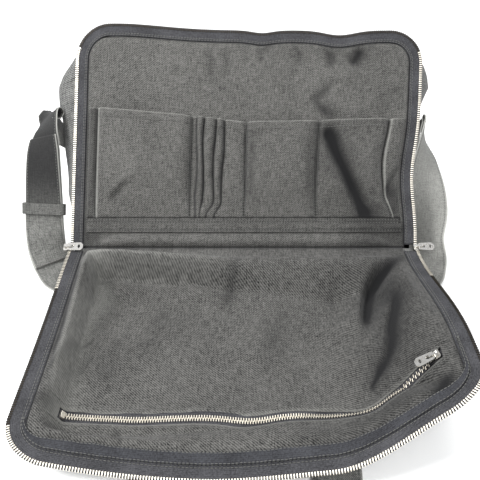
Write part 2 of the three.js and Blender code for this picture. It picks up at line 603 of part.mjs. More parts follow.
// Shoulder strap: from the left side wall over, down to the floor, under the hinge, and up the right side
const floorY = (y) => HINGE.y + y;
const strapStation = (at, across) => ({ at, across, wide: STRAP.wide, thick: STRAP.thick });
const strapStations = [
  strapStation(backAt(-218, 122, -30), OUT),
  strapStation(backAt(-223, 145, -30), OUT),
  strapStation(backAt(-234, 161, -25), vec(0.25, -0.75, 0.3)),
  strapStation(backAt(-236, 143, -13), vec(0.74, -0.5, 0.4)),
  strapStation(backAt(-236, 114, -9), vec(0.94, -0.25, 0.2)),
  strapStation(vec(-236, floorY(50), 68), vec(1, 0, 0)),
  strapStation(vec(-237, floorY(35), 42), vec(0.98, 0.15, -0.1)),
  strapStation(vec(-236, floorY(24), 18), vec(0.88, 0.42, -0.1)),
  strapStation(vec(-227, floorY(9), 3.7), vec(0.66, 0.74, 0)),
  strapStation(vec(-208, floorY(-11), 1.7), vec(0.34, 0.92, 0)),
  strapStation(vec(-180, floorY(-8), 1.5), vec(0, 1, 0)),
  strapStation(vec(-95, floorY(-4), 1.5), vec(0, 1, 0)),
  strapStation(vec(0, floorY(-4), 1.5), vec(0, 1, 0)),
  strapStation(vec(95, floorY(-4), 1.5), vec(0, 1, 0)),
  strapStation(vec(160, floorY(-8), 1.5), vec(0, 1, 0)),
  strapStation(vec(187, floorY(-11), 1.6), vec(-0.08, 1, 0)),
  strapStation(vec(209, floorY(-11), 2.2), vec(-0.26, 0.96, 0)),
  strapStation(vec(220.5, floorY(10), 8), vec(-0.66, 0.74, 0)),
  strapStation(vec(222, floorY(34), 28), vec(-0.62, 0.66, -0.3)),
  strapStation(vec(223, floorY(52), 54), vec(-0.88, 0.36, -0.2)),
  strapStation(backAt(221, 82, -22), vec(-0.97, -0.12, 0.1)),
  strapStation(backAt(218.5, 110, -22), vec(-0.75, -0.5, 0.4)),
  strapStation(backAt(214, 132, -25), vec(-0.4, -0.7, 0.56)),
  strapStation(backAt(211, 154, -29), vec(-0.1, -0.76, 0.62)),
  strapStation(backAt(206, 152, -30), OUT),
  strapStation(backAt(203.8, 138, -30), OUT),
  strapStation(backAt(202.3, 116, -30), OUT),
];
const strapFrames = stripFrames(strapStations, STRAP.cells);
const shoulderStrap = strip(strapFrames);

// Loose end of the strap, doubled on its outer face, and the loop that keeps it there
const strapTail = strip(strapFrames.slice(TAIL.from, TAIL.to + 1).map((f) => ({
  ...f,
  at: f.at.clone().addScaledVector(f.normal, -(STRAP.thick + TAIL.thick) / 2 - TAIL.gap),
  wide: TAIL.wide,
  thick: TAIL.thick,
})));

function rectangle(shape, halfWide, low, high) {
  shape.moveTo(-halfWide, low);
  shape.lineTo(halfWide, low);
  shape.lineTo(halfWide, high);
  shape.lineTo(-halfWide, high);
  shape.closePath();
  return shape;
}
function keeperGeometry() {
  const half = STRAP.wide / 2 + KEEPER.room;
  const low = -STRAP.thick / 2 - TAIL.gap - TAIL.thick - KEEPER.room;
  const high = STRAP.thick / 2 + KEEPER.room;
  const loop = rectangle(new THREE.Shape(), half + KEEPER.wall, low - KEEPER.wall, high + KEEPER.wall);
  loop.holes.push(rectangle(new THREE.Path(), half, low, high));
  const f = strapFrames[KEEPER.cell];
  const frame = new THREE.Matrix4().makeBasis(f.across, f.normal, f.across.clone().cross(f.normal));
  return extruded(loop, KEEPER.tall).applyMatrix4(frame.setPosition(f.at));
}

// Carry handles: a flat strap sewn to each outer panel, narrower and doubled at the grip
const handleStation = (at, across, grip) => ({
  at,
  across,
  wide: lerp(HANDLE.wide, HANDLE.gripWide, grip),
  thick: lerp(HANDLE.thick, HANDLE.gripThick, grip),
});
const FRONT_HANDLE = [
  { x: 78, y: 0, turn: 0, grip: 0 },
  { x: 78, y: -240, turn: 0, grip: 0 },
  { x: 75, y: -262, turn: 18, grip: 0 },
  { x: 62, y: -288, turn: 42, grip: 0.4 },
  { x: 36, y: -306, turn: 68, grip: 1 },
  { x: 0, y: -312, turn: 90, grip: 1 },
];
const frontHandleHalf = (side) => FRONT_HANDLE.map((row, i) => {
  const root = side < 0 ? HANDLE.rootLeft : HANDLE.rootRight;
  const turn = degToRad(row.turn);
  const across = vec(-side * Math.cos(turn), Math.sin(turn), 0);
  const thick = lerp(HANDLE.thick, HANDLE.gripThick, row.grip);
  const y = floorY(i === 0 ? root : row.y);
  return handleStation(vec(side * row.x, y, HANDLE.lie + thick / 2), across, row.grip);
});
const mirrored = (half) => [...half(-1), ...half(1).toReversed().slice(1)];
const frontHandle = strip(stripFrames(mirrored(frontHandleHalf), HANDLE.cells));

const BACK_HANDLE = [
  { x: 78, v: 203, w: -63.9, turn: 0, grip: 0 },
  { x: 78, v: 218, w: -63.4, turn: 0, grip: 0 },
  { x: 77, v: 231, w: -69, turn: 0, grip: 0 },
  { x: 75, v: 222, w: -82, turn: 8, grip: 0 },
  { x: 68, v: 199, w: -98, turn: 25, grip: 0.2 },
  { x: 48, v: 176, w: -115, turn: 55, grip: 0.8 },
  { x: 0, v: 164, w: -124, turn: 90, grip: 1 },
];
const backHandleHalf = (side) => BACK_HANDLE.map((row) => {
  const turn = degToRad(row.turn);
  const across = vec(-side * Math.cos(turn), 0, Math.sin(turn));
  return handleStation(backAt(side * row.x, row.v, row.w), across, row.grip);
});
const backHandle = strip(stripFrames(mirrored(backHandleHalf), HANDLE.cells));

// Assembly
const COLOURS = { twill: 0x5a5955, tape: 0x47464b, shell: 0x6d6d6b, strap: 0x777773, nickel: 0xb9b8b4 };
const briefcase = new THREE.Group();
briefcase.name = "briefcase";
function add(name, geometry, colour, metal = 0) {
  const roughness = metal ? 0.3 : 0.9;
  const material = new THREE.MeshStandardMaterial({ color: colour, metalness: metal, roughness });
  const mesh = new THREE.Mesh(geometry, material);
  mesh.name = name;
  briefcase.add(mesh);
}
add("front_shell", frontShell, COLOURS.shell);
add("front_lining", frontLining, COLOURS.twill);
add("front_tape", frontTape, COLOURS.tape);
add("front_teeth", frontTeeth, COLOURS.nickel, 1);
add("front_binding", frontBinding, COLOURS.tape);
add("pocket_zip_tape", pocketTape, COLOURS.tape);
add("pocket_zip_chain", pocketChain, COLOURS.nickel, 1);
add("pocket_zip_stop", pocketStop, COLOURS.nickel, 1);
add("back_shell", backShell, COLOURS.shell);
add("organiser_panel", organiserPanel, COLOURS.twill);
for (const [name, geometry] of Object.entries(pockets)) add(name, geometry, COLOURS.twill);
add("pocket_band", pocketBand, COLOURS.twill);
add("back_tape", backTape, COLOURS.tape);
add("back_teeth", backTeeth, COLOURS.nickel, 1);
const SLIDERS = [
  { place: "pocket_zip", frame: pocketSliderFrame(), tilt: PULL.tilt },
  { place: "left", frame: hingeSliderFrame(-1), tilt: 0 },
  { place: "right", frame: hingeSliderFrame(1), tilt: 0 },
];
for (const { place, frame, tilt } of SLIDERS) {
  add(`${place}_slider`, sliderGeometry().applyMatrix4(frame), COLOURS.nickel, 1);
  add(`${place}_pull`, pullGeometry(tilt).applyMatrix4(frame), COLOURS.nickel, 1);
}
add("shoulder_strap", shoulderStrap, COLOURS.strap);
add("strap_tail", strapTail, COLOURS.strap);
add("strap_keeper", keeperGeometry(), COLOURS.strap);
add("front_handle", frontHandle, COLOURS.strap);
add("back_handle", backHandle, COLOURS.strap);

export default briefcase;
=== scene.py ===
"""A soft zip-round briefcase of washed grey twill, unzipped and lying open on a pale floor."""
import bmesh
import bpy
import numpy as np
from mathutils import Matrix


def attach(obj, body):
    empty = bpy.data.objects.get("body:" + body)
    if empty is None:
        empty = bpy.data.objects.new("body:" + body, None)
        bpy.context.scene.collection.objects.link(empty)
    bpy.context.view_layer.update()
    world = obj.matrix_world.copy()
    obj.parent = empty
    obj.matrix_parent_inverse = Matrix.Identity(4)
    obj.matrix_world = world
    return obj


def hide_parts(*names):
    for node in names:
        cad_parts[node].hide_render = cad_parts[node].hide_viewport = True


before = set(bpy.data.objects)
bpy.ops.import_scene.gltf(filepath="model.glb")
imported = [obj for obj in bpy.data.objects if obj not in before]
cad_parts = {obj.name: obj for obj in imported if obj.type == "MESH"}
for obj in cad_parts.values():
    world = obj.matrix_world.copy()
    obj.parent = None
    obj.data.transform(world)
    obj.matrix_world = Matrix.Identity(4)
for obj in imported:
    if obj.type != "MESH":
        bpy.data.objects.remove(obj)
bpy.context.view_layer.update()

# Camera, floor and light: the camera stands over the near edge of the open case and looks down on
# it, square to the leaning back half. The floor is white and the light is wide and soft.
MM = 0.001
HINGE = {"y": 112.0, "z": 38.0}
CAMERA = {"at": (-4.03, HINGE["y"] - 486.64, 446.14), "tilt": 51.0, "lens": 41.4, "sensor": 36.0}
FLOOR = {"half": 4.0, "colour": "#fbfbfa", "rough": 0.7}
SKY = {"colour": "#f6f8fb", "strength": 0.71}
LAMPS = [
    # name, place, aim, side in metres, watts
    ("key", (-1.05, -0.25, 1.2), (0.0, 0.05, 0.05), 0.5, 26.0),
    ("top", (0.2, 0.75, 1.3), (0.0, 0.0, 0.05), 0.9, 13.0),
    ("near", (0.35, -1.05, 1.3), (0.05, 0.0, 0.0), 1.2, 18.0),
]
scene = bpy.context.scene


def linear(colour):
    """Linear red, green, blue and alpha of an sRGB hex colour."""
    parts = np.array([int(colour[i:i + 2], 16) / 255 for i in (1, 3, 5)])
    low = parts / 12.92
    high = ((parts + 0.055) / 1.055) ** 2.4
    return (*np.where(parts <= 0.04045, low, high), 1.0)


def wire(tree, target, inputs):
    """Sets a node's inputs to values, or links them to sockets of other nodes."""
    for name, value in inputs.items():
        if isinstance(value, bpy.types.NodeSocket):
            tree.links.new(value, target.inputs[name])
        else:
            target.inputs[name].default_value = value


def node(tree, kind, inputs, **settings):
    """Adds one node, sets its properties, and sets or links its inputs."""
    made = tree.nodes.new(kind)
    for name, value in settings.items():
        setattr(made, name, value)
    wire(tree, made, inputs)
    return made


def new_material(name):
    """An empty node material, its tree and its shader."""
    material = bpy.data.materials.new(name)
    material.use_nodes = True
    tree = material.node_tree
    return material, tree, tree.nodes["Principled BSDF"]


def new_mesh(points, faces, soft=True):
    """Mesh of points in mm and the faces between them, shaded soft or flat."""
    mesh = bpy.data.meshes.new("piece")
    mesh.from_pydata((np.asarray(points) * MM).tolist(), [], np.asarray(faces).tolist())
    mesh.polygons.foreach_set("use_smooth", np.full(len(faces), soft))
    return mesh


def placed(name, data):
    """Object of a mesh, camera or lamp, put into the scene."""
    data.name = name
    made = bpy.data.objects.new(name, data)
    scene.collection.objects.link(made)
    return made


lens = bpy.data.cameras.new("camera")
lens.lens = CAMERA["lens"]
lens.sensor_width = CAMERA["sensor"]
viewer = placed("camera", lens)
viewer.location = np.array(CAMERA["at"]) * MM
viewer.rotation_euler = (np.radians(CAMERA["tilt"]), 0, 0)
scene.camera = viewer

corners = FLOOR["half"] / MM * np.array([(-1, -1, 0), (1, -1, 0), (1, 1, 0), (-1, 1, 0)])
floor_mesh = new_mesh(corners, [(0, 1, 2, 3)], False)
paint, tree, shader = new_material("white_painted_floor")
wire(tree, shader, {"Base Color": linear(FLOOR["colour"]), "Roughness": FLOOR["rough"]})
floor_mesh.materials.append(paint)
placed("floor", floor_mesh)

world = bpy.data.worlds.new("studio")
world.use_nodes = True
sky = world.node_tree.nodes["Background"]
wire(world.node_tree, sky, {"Color": linear(SKY["colour"]), "Strength": SKY["strength"]})
scene.world = world
for name, place, aim, side, watts in LAMPS:
    area = bpy.data.lights.new(name, "AREA")
    area.size = side
    area.energy = watts
    lamp = placed(name, area)
    lamp.location = place
    away = lamp.location - type(lamp.location)(aim)
    lamp.rotation_euler = away.to_track_quat("Z", "Y").to_euler()
scene.view_settings.view_transform = "Standard"

# Front half's outer cloth: washed cotton twill, cut as one panel with darted corners and sewn to the
# zip tape along the rim. It lies on the floor, slumped low along its far edge, its right side pulled up.
HALF = 195.0  # half the width of the rim
HEIGHT = 248.0  # from the hinge to the far edge
CORNER = 34.0  # radius of the far corners
FRONT = {"margin": 14, "slope_left": 34, "slope_right": 60, "sag": 18, "sag_half": 185, "left_drop": 11,
         "splay": 4, "bow": 12, "lift": 36, "lift_from": 70, "pull": 0.1}
SHELL_THICK = 2.0
SHELL_INSET = 2.0
DOWN = (0, 0, -1)
# Colour of painted shade, mixed into the twill in folds, along seams and in shaded places.
PAINTED_SHADE = "#161617"
WAVE = 0.314  # length in metres of one wave, in a wave texture of scale 1
TWILL_THREADS = [
    # width and length in mm, detail, roughness, share: yarn, slub along the warp, weft, wash
    (1.7, 1.7, 3.0, 0.75, 0.55),
    (1.3, 10, 2.0, 0.5, 0.5),
    (9, 1.3, 2.0, 0.5, 0.45),
    (60, 60, 4.0, 0.65, 0.24),
]


def smooth(x, low, high):
    """Eased step from 0 at low to 1 at high: 3t^2 - 2t^3."""
    t = np.clip((x - low) / (high - low), 0, 1)
    return t * t * (3 - 2 * t)


def inside_rim(u, v):
    """Distance of a place inside the rim: to the nearest side, or to the corner's arc, or to the hinge."""
    du = HALF - np.abs(u)
    dv = HEIGHT - v
    corner = CORNER - np.hypot(CORNER - du, CORNER - dv)
    edge = np.where((du < CORNER) & (dv < CORNER), corner, np.minimum(du, dv))
    return np.minimum(edge, v)


def inset_half(v, inset):
    """Half width of the rim outline at height v, moved inwards by inset, round the far corners."""
    r = CORNER - inset
    past = np.clip(v - (HEIGHT - CORNER), 0, r)
    return HALF - CORNER + np.sqrt(r * r - past * past)


def slope_foot(u):
    """How far inside the rim the sloping walls of the front half end, from left to right."""
    return FRONT["slope_left"] + (FRONT["slope_right"] - FRONT["slope_left"]) * smooth(u, -120, 120)


def rim_height(u, v):
    """Height of the front half's rim: it slumps in the middle of the far edge and drops along the left."""
    far = smooth(v, 0.72 * HEIGHT, HEIGHT)
    slump = FRONT["sag"] * np.maximum(0, 1 - np.abs(u / FRONT["sag_half"]) ** 2.5) * far
    return HINGE["z"] - slump - FRONT["left_drop"] * (1 - smooth(u, -40, 80)) * smooth(v, 30, 190)


def tray_height(u, v):
    """Height of the outer face of the front half: the rim's height, eased to 0 across the sloping walls."""
    return rim_height(u, v) * (1 - smooth(inside_rim(u, v), FRONT["margin"], slope_foot(u)))


def front_at(u, v, above, extra=0.0):
    """Point on the front half at a distance above its outer face, square to it, plus an extra height.
    The right side lifts and pulls back, the far edge bows out and the left side splays."""
    step = 0.5
    slope_u = (tray_height(u + step, v) - tray_height(u - step, v)) / (2 * step)
    slope_v = (tray_height(u, v + step) - tray_height(u, v - step)) / (2 * step)
    height = tray_height(u, v) + above * np.sqrt(1 + slope_u ** 2 + slope_v ** 2) + extra
    right = smooth(u, FRONT["lift_from"], HALF)
    bow = FRONT["bow"] * np.maximum(0, 1 - (u / HALF) ** 2) * smooth(v, 0.4 * HEIGHT, HEIGHT)
    lift = FRONT["lift"] * right * smooth(v, 0, 0.75 * HEIGHT)
    pull = FRONT["pull"] * right * smooth(v, 0, 0.3 * HEIGHT)
    splay = FRONT["splay"] * smooth(-u, 120, HALF) * smooth(v, 60, 200)
    return np.stack([u - splay, HINGE["y"] - v * (1 - pull) - bow, height + lift], axis=-1)


def ripple(u, v, longest):
    """Unevenness of washed cloth, about -1 to 1: the mean of sine waves that run in six directions."""
    turns = 2.4 * np.arange(6)
    lengths = longest / (1 + 0.35 * np.arange(6))
    runs = [(u * np.cos(turn) + v * np.sin(turn)) / long for turn, long in zip(turns, lengths)]
    return np.mean([np.sin(2 * np.pi * run + 3 * turn) for run, turn in zip(runs, turns)], axis=0) * 1.8


def grid_mesh(points, cloth, facing=None, keep=None, **marks):
    """Mesh of a grid of points in mm. cloth gives each point's place on the flat cloth in mm, as a UV map
    in metres. facing is the way its faces look, keep leaves cells out, marks are values for each point."""
    rows, columns = points.shape[:2]
    ids = np.arange(rows * columns).reshape(rows, columns)
    quads = np.stack([ids[:-1, :-1], ids[:-1, 1:], ids[1:, 1:], ids[1:, :-1]], axis=-1)
    quads = quads[keep] if keep is not None else quads.reshape(-1, 4)
    flat = points.reshape(-1, 3)
    if facing is not None:
        normals = np.cross(flat[quads[:, 2]] - flat[quads[:, 0]], flat[quads[:, 3]] - flat[quads[:, 1]])
        quads = quads[:, ::-1] if normals.sum(axis=0) @ np.asarray(facing) < 0 else quads
    mesh = new_mesh(flat, quads)
    uv = mesh.uv_layers.new(name="cloth")
    uv.data.foreach_set("uv", (np.stack(cloth, -1).reshape(-1, 2)[quads.ravel()] * MM).ravel())
    for mark, value in marks.items():
        layer = mesh.attributes.new(mark, "FLOAT", "POINT")
        layer.data.foreach_set("value", np.clip(value, 0, 1).ravel().astype(np.float32))
    return mesh


def add_piece(name, mesh, material, replaces=(), thick=None):
    """Object of a mesh, with its material, its thickness behind its face, and the nodes it stands for."""
    piece = placed(name, mesh)
    mesh.materials.append(material)
    if thick:
        wall = piece.modifiers.new("thickness", "SOLIDIFY")
        wall.thickness = thick * MM
        wall.offset = -1
    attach(piece, "case")
    if replaces:
        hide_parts(*replaces)
    return piece


def washed_twill(name, dark, light, pale_tint, rib_mm, turn):
    """Washed cotton twill: pale and dark yarns give a speckled melange, with long slubs along the warp and
    fine diagonal ribs. Two marks of each point mix in further colours: painted shade darkens folds, seams
    and shaded places, and a pale tint paints light on hems and shaded slopes, with some rubbed wear along
    edges. The speckle is drawn coarser than the real 0.5 mm yarn so that it shows."""
    material, tree, shader = new_material(name)
    place = node(tree, "ShaderNodeUVMap", {}, uv_map="cloth").outputs["UV"]
    turned = node(tree, "ShaderNodeMapping", {"Vector": place, "Rotation": (0, 0, np.radians(turn))})
    ribs = node(tree, "ShaderNodeTexWave", {
        "Vector": turned.outputs["Vector"], "Scale": WAVE / (rib_mm * MM), "Distortion": 3.0,
        "Detail": 2.0, "Detail Scale": 3.0}, wave_profile="SIN")
    weave = node(tree, "ShaderNodeMath", {0: ribs.outputs["Fac"], 1: 0.32, 2: -0.16},
                 operation="MULTIPLY_ADD")
    threads = []
    for width, length, detail, rough, share in TWILL_THREADS:
        sized = node(tree, "ShaderNodeMapping", {
            "Vector": place, "Scale": (1 / (width * MM), 1 / (length * MM), 1)})
        thread = node(tree, "ShaderNodeTexNoise", {
            "Vector": sized.outputs["Vector"], "Scale": 1.0, "Detail": detail, "Roughness": rough})
        weave = node(tree, "ShaderNodeMath", {0: thread.outputs["Fac"], 1: share, 2: weave.outputs[0]},
                     operation="MULTIPLY_ADD")
        threads.append(thread)
    shade = node(tree, "ShaderNodeMapRange", {"Value": weave.outputs[0], "From Min": 0.6, "From Max": 1.14})
    colour = node(tree, "ShaderNodeMix", {
        "Factor": shade.outputs["Result"], "A": linear(dark), "B": linear(light)}, data_type="RGBA")
    # Mix in painted shade, then painted light together with some rubbed wear, each by its own mark.
    for mark, tint in (("unfaded", PAINTED_SHADE), ("wear", pale_tint)):
        marked = node(tree, "ShaderNodeAttribute", {}, attribute_name=mark)
        colour = node(tree, "ShaderNodeMix", {
            "Factor": marked.outputs["Fac"], "A": colour.outputs["Result"], "B": linear(tint)},
            data_type="RGBA")
    relief = node(tree, "ShaderNodeMath", {0: ribs.outputs["Fac"], 1: 0.4, 2: threads[0].outputs["Fac"]},
                  operation="MULTIPLY_ADD")
    bump = node(tree, "ShaderNodeBump", {"Height": relief.outputs[0], "Strength": 0.5, "Distance": 0.5 * MM})
    wire(tree, shader, {
        "Base Color": colour.outputs["Result"], "Normal": bump.outputs["Normal"], "Roughness": 0.92,
        "Specular IOR Level": 0.2, "Sheen Weight": 0.08, "Sheen Roughness": 0.5})
    return material


shell_twill = washed_twill("washed_shell_twill", "#2b2b2a", "#7a7a78", "#a9a9a4", 1.3, 58)
v, s = np.meshgrid(np.linspace(0.3, HEIGHT - SHELL_INSET, 84), np.linspace(-1, 1, 132), indexing="ij")
u = s * inset_half(v, SHELL_INSET)
slack = 0.7 * ripple(u, v, 70) * smooth(tray_height(u, v), 3, 14) * smooth(inside_rim(u, v), 10, 24)
front_shell = add_piece(
    "front_shell_cloth", grid_mesh(front_at(u, v, 0.0, np.maximum(slack, 0)), (u, v), DOWN),
    shell_twill, ["front_shell"], SHELL_THICK,
)

# Front lining: a darker twill panel that lies loose in the tray, slit along the pocket zip. It folds
# up where the right side of the tray is pulled back, and puckers along its left seam.
LINING = {"inset": 13.5, "seat": 0.8, "loose": 3.6, "thick": 1.3, "span": 0.22, "span_wide": 18,
          "lowest": -2.4}
ZIP = {"v": 194.0, "slot": 10.6, "tape": 14.0, "under": 2.2, "raised": 1.9, "clear": 1.05, "end": 175.0,
       "slot_from": -165.2, "slot_to": 169.0}
ZIP_WAVES = [
    # place along it, rise, spread
    (-106, 3.5, 38),
    (6, 4.5, 26),
    (111, 10, 18),
]
LINING_CREASES = [
    # route, rise, spread, fade at the ends, share of the spread on the right
    ([(157, 22), (144, 34), (132, 47), (125, 68), (120, 93), (120, 116)], 9.0, 15.0, 0.3, 0.4),
    ([(167, 28), (150, 40), (140, 51), (134, 69), (129, 90), (126, 112)], -7.0, 6.0),
    ([(156, 74), (146, 97), (139, 116), (138, 134), (136, 146), (126, 160)], 7.0, 9.0, 0.3, 0.5),
    ([(163, 62), (158, 84), (153, 104), (147, 120), (143, 138), (139, 150), (118, 178)], -6.0, 6.0),
    ([(176, 40), (168, 70), (166, 110), (160, 150)], 3.0, 8.0, 0.3, 0.6),
    ([(108, 26), (99, 60), (100, 96)], -2.2, 8.0),
    ([(96, 14), (80, 8), (50, 10)], 1.6, 9.0),
    ([(-158, 124), (-164, 146), (-175, 166)], 4.2, 7.0, 0.3, 0.5),
    ([(-152, 128), (-160, 150), (-170, 168)], -3.0, 4.5),
    ([(-168, 26), (-172, 60), (-175, 110)], 1.6, 5.0),
    ([(-172, 40), (-152, 38), (-120, 34)], 5.0, 15.0),
    ([(-172, 212), (-160, 222), (-146, 224)], 4.0, 5.5),
    ([(-168, 230), (-150, 229), (-130, 230)], -3.0, 4.5),
    ([(-70, 82), (-84, 116), (-98, 156)], 2.2, 16.0, 0.3, 0.6),
    ([(-8, 20), (-14, 44), (-22, 66)], -2.2, 6.5),
    ([(40, 60), (22, 108), (12, 156)], 1.8, 20.0),
    ([(70, 150), (40, 164), (5, 172)], 1.6, 12.0),
    ([(-118, 208), (-112, 220)], -2.4, 4.0),
    ([(146, 214), (161, 222), (167, 232)], -3.4, 5.5),
    ([(132, 212), (150, 218), (158, 230)], 2.4, 7.0),
]
LINING_DARK = [
    # painted shade in the folds and along the seams, in rows of the same kind
    ([(186, 12), (167, 28), (150, 40), (140, 51), (134, 69), (129, 90), (126, 114)], 0.52, 8.5, 0.25),
    ([(162, 56), (158, 84), (153, 104), (147, 120), (143, 138), (139, 150), (118, 178)], 0.42, 10.5, 0.35),
    ([(172, 214), (164, 226), (150, 232)], 0.5, 9.0),
    ([(-188, 12), (-172, 16), (-160, 14)], 0.6, 6.0),
    ([(-180, 22), (-182, 40), (-179, 60), (-181, 90), (-178, 120), (-180, 150)], 0.55, 3.2, 0.1),
    ([(-128, 96), (-130, 130), (-136, 170)], 0.2, 13.0),
    ([(30, 224), (90, 222), (152, 210)], 0.26, 14.0),
    ([(134, 150), (124, 166), (112, 182)], 0.2, 12.0),
    ([(-8, 16), (-14, 44), (-22, 70)], 0.22, 8.0),
    ([(-84, 60), (-92, 100), (-104, 140)], 0.2, 11.0),
    ([(46, 60), (30, 110), (22, 150)], 0.17, 13.0),
    ([(146, 96), (152, 70), (160, 44)], 0.3, 9.0),
    ([(-150, 112), (-164, 130), (-171, 154), (-179, 168)], 0.5, 2.4, 0.2),
    ([(-184, 190), (-165, 189.5)], 0.4, 2.0, 0.05),
    ([(-184, 200), (-165, 199)], 0.3, 2.0, 0.05),
    ([(-114, 206), (-104, 228)], 0.35, 2.4),
    ([(-184, 226), (-176, 234), (-160, 235)], 0.5, 3.5),
    ([(166, 192), (175, 192), (181, 198), (183, 212), (184, 227)], 0.35, 2.2, 0.1),
    ([(133, 158), (118, 178), (121, 185)], 0.4, 2.4, 0.2),
]


def bell(x, middle, spread):
    """Bell of height 1: exp(-((x - middle) / spread)^2)."""
    return np.exp(-(((x - middle) / spread) ** 2))


def length_along(points):
    """Distance along a line of points, from its start."""
    return np.r_[0, np.cumsum(np.linalg.norm(np.diff(points, axis=0), axis=1))]


def crease(u, v, route, rise, spread, fade=0.3, steep=1.0):
    """Height of one crease: a bell across its route, rise * exp(-(distance / spread)^2), which fades at
    both ends. On the right of the route the bell is narrower by the share steep."""
    route = np.asarray(route, float)
    starts = length_along(route)
    nearest = np.full(np.shape(u), np.inf)
    place = np.zeros(np.shape(u))
    width = np.full(np.shape(u), float(spread))
    for a, b, start, stop in zip(route[:-1], route[1:], starts[:-1], starts[1:]):
        du, dv = b - a
        t = np.clip(((u - a[0]) * du + (v - a[1]) * dv) / (du * du + dv * dv), 0, 1)
        away = np.hypot(u - a[0] - t * du, v - a[1] - t * dv)
        on_right = du * (v - a[1]) < dv * (u - a[0])
        width = np.where(away < nearest, np.where(on_right, steep * spread, spread), width)
        place = np.where(away < nearest, start + t * (stop - start), place)
        nearest = np.minimum(nearest, away)
    along = place / starts[-1]
    ends = smooth(along, -0.05, fade) * smooth(1 - along, -0.05, fade)
    return rise * ends * bell(nearest, 0, width)


def creases(u, v, rows):
    """Sum of the creases of a table."""
    return sum((crease(u, v, *row) for row in rows), np.zeros(np.shape(u)))


def waves(u, rows):
    """Sum of the bells of a table of places, rises and spreads."""
    return sum(rise * bell(u, at, spread) for at, rise, spread in rows)


def lining_loose(u, v):
    """Height of the lining's underside above the outer face of the tray: close at the rim, loose inside, and
    spanning the foot of the walls like a hammock. The left end of the zip pulls it tight."""
    inside = inside_rim(u, v)
    span = LINING["span"] * rim_height(u, v) * (1 - smooth(u, 20, 110))
    span = span * bell(inside, slope_foot(u), LINING["span_wide"]) * smooth(inside, 12, 28)
    tight = smooth(-u, 110, 158) * bell(v, ZIP["v"], 26)
    loose = LINING["loose"] * smooth(inside, FRONT["margin"], 27) * (1 - 0.65 * tight)
    return SHELL_THICK + LINING["seat"] + loose + span * (1 - tight)


def zip_middle(u):
    """Place v of the pocket zip's middle: straight, with shallow waves where the cloth hangs forward."""
    return ZIP["v"] + waves(u, ZIP_WAVES)


def lining_folds(u, v):
    """Folds of the lining: its creases, seam puckers that die away from the left edge, and a light ripple.
    They fade out at the rim and beside the zip's slot, and never reach down to the shell."""
    inside = inside_rim(u, v)
    pucker = 0.9 * np.sin(v / 3.1 + 1.3 * np.sin(v / 11)) * np.exp(-(inside - 15) / 9) * smooth(-u, 120, 170)
    folds = creases(u, v, LINING_CREASES) + pucker + 0.8 * ripple(u, v, 74)
    off_edge = smooth(inside, FRONT["margin"], 24)
    off_slot = 1 - bell(v, zip_middle(u), 12)
    return np.maximum(folds, LINING["lowest"]) * off_edge * off_slot


lining_twill = washed_twill("washed_lining_twill", "#1c1c1b", "#6b6a67", "#b4b4ae", 1.8, 52)
tray_twill = washed_twill("washed_tray_lining_twill", "#000000", "#71706d", "#b4b4ae", 1.8, 52)
UP = (0, 0, 1)
slot_half = ZIP["slot"] / 2
low_rows = np.linspace(1.6, ZIP["v"] - slot_half, 98)
high_rows = np.linspace(ZIP["v"] + slot_half, HEIGHT - LINING["inset"], 20)
slot_end = ZIP["slot_to"] / inset_half(ZIP["v"], LINING["inset"])
half_row = np.r_[np.linspace(0, slot_end, 90), np.linspace(slot_end, 1, 8)[1:]]
row, s = np.meshgrid(np.r_[low_rows, high_rows], np.r_[-half_row[:0:-1], half_row], indexing="ij")
u = s * inset_half(row, LINING["inset"])
v = row + (zip_middle(u) - ZIP["v"]) * (1 - smooth(np.abs(row - ZIP["v"]), slot_half, 36))
to_slot = np.abs(np.abs(row - ZIP["v"]) - slot_half)
beside_slot = smooth(u, ZIP["slot_from"] - 4, ZIP["slot_from"] + 2)
beside_slot *= smooth(-u, -ZIP["slot_to"] - 1, -ZIP["slot_to"] + 5)
lip = (0.7 * bell(to_slot, 4, 2.2) - 0.9 * bell(to_slot, 0, 1.6)) * beside_slot
slot_row = len(low_rows) - 1
keep = np.ones((len(row) - 1, row.shape[1] - 1), bool)
cell_u = (u[slot_row, :-1] + u[slot_row, 1:]) / 2
keep[slot_row] = (cell_u < ZIP["slot_from"]) | (cell_u > ZIP["slot_to"])
# Painted light on the shaded foot of the left wall and on the shaded slope by the hinge, and painted shade
# on the lit top of the left wall.
to_left = HALF + u
wall_foot = 27 + 14 * bell(v, 58, 25)
left_wall = 0.18 * bell(to_left, wall_foot, 13) * smooth(v, 4, 20) * (1 - smooth(v, 200, 218))
left_wall *= smooth(to_left, 16, 28)
wall_top = 0.24 * bell(to_left, 20, 5) * smooth(v, 60, 100) * (1 - smooth(v, 185, 205))
hinge_painted_light = 0.09 * bell(v, 24, 12) * (1 - smooth(u, -90, 30))
# Painted shade: an even 0.2 that darkens the cloth's own tone, darker folds and valleys, a darker right side
# and a dark line along the hinge. The slot's edge is drawn paler.
shade_paint = 0.2 + creases(u, v, LINING_DARK) + 0.2 * smooth(u, 60, 150)
shade_paint += 0.05 * np.maximum(-creases(u, v, LINING_CREASES), 0) + 0.75 * bell(v, 0, 3.5) + wall_top
mesh = grid_mesh(
    front_at(u, v, lining_loose(u, v) + LINING["thick"], lining_folds(u, v) + lip), (u, v), UP, keep,
    wear=0.25 * bell(to_slot, 0, 1.5) * beside_slot + hinge_painted_light + left_wall, unfaded=shade_paint,
)
front_lining = add_piece(
    "front_lining_cloth", mesh, tray_twill, ["front_lining"], LINING["thick"])

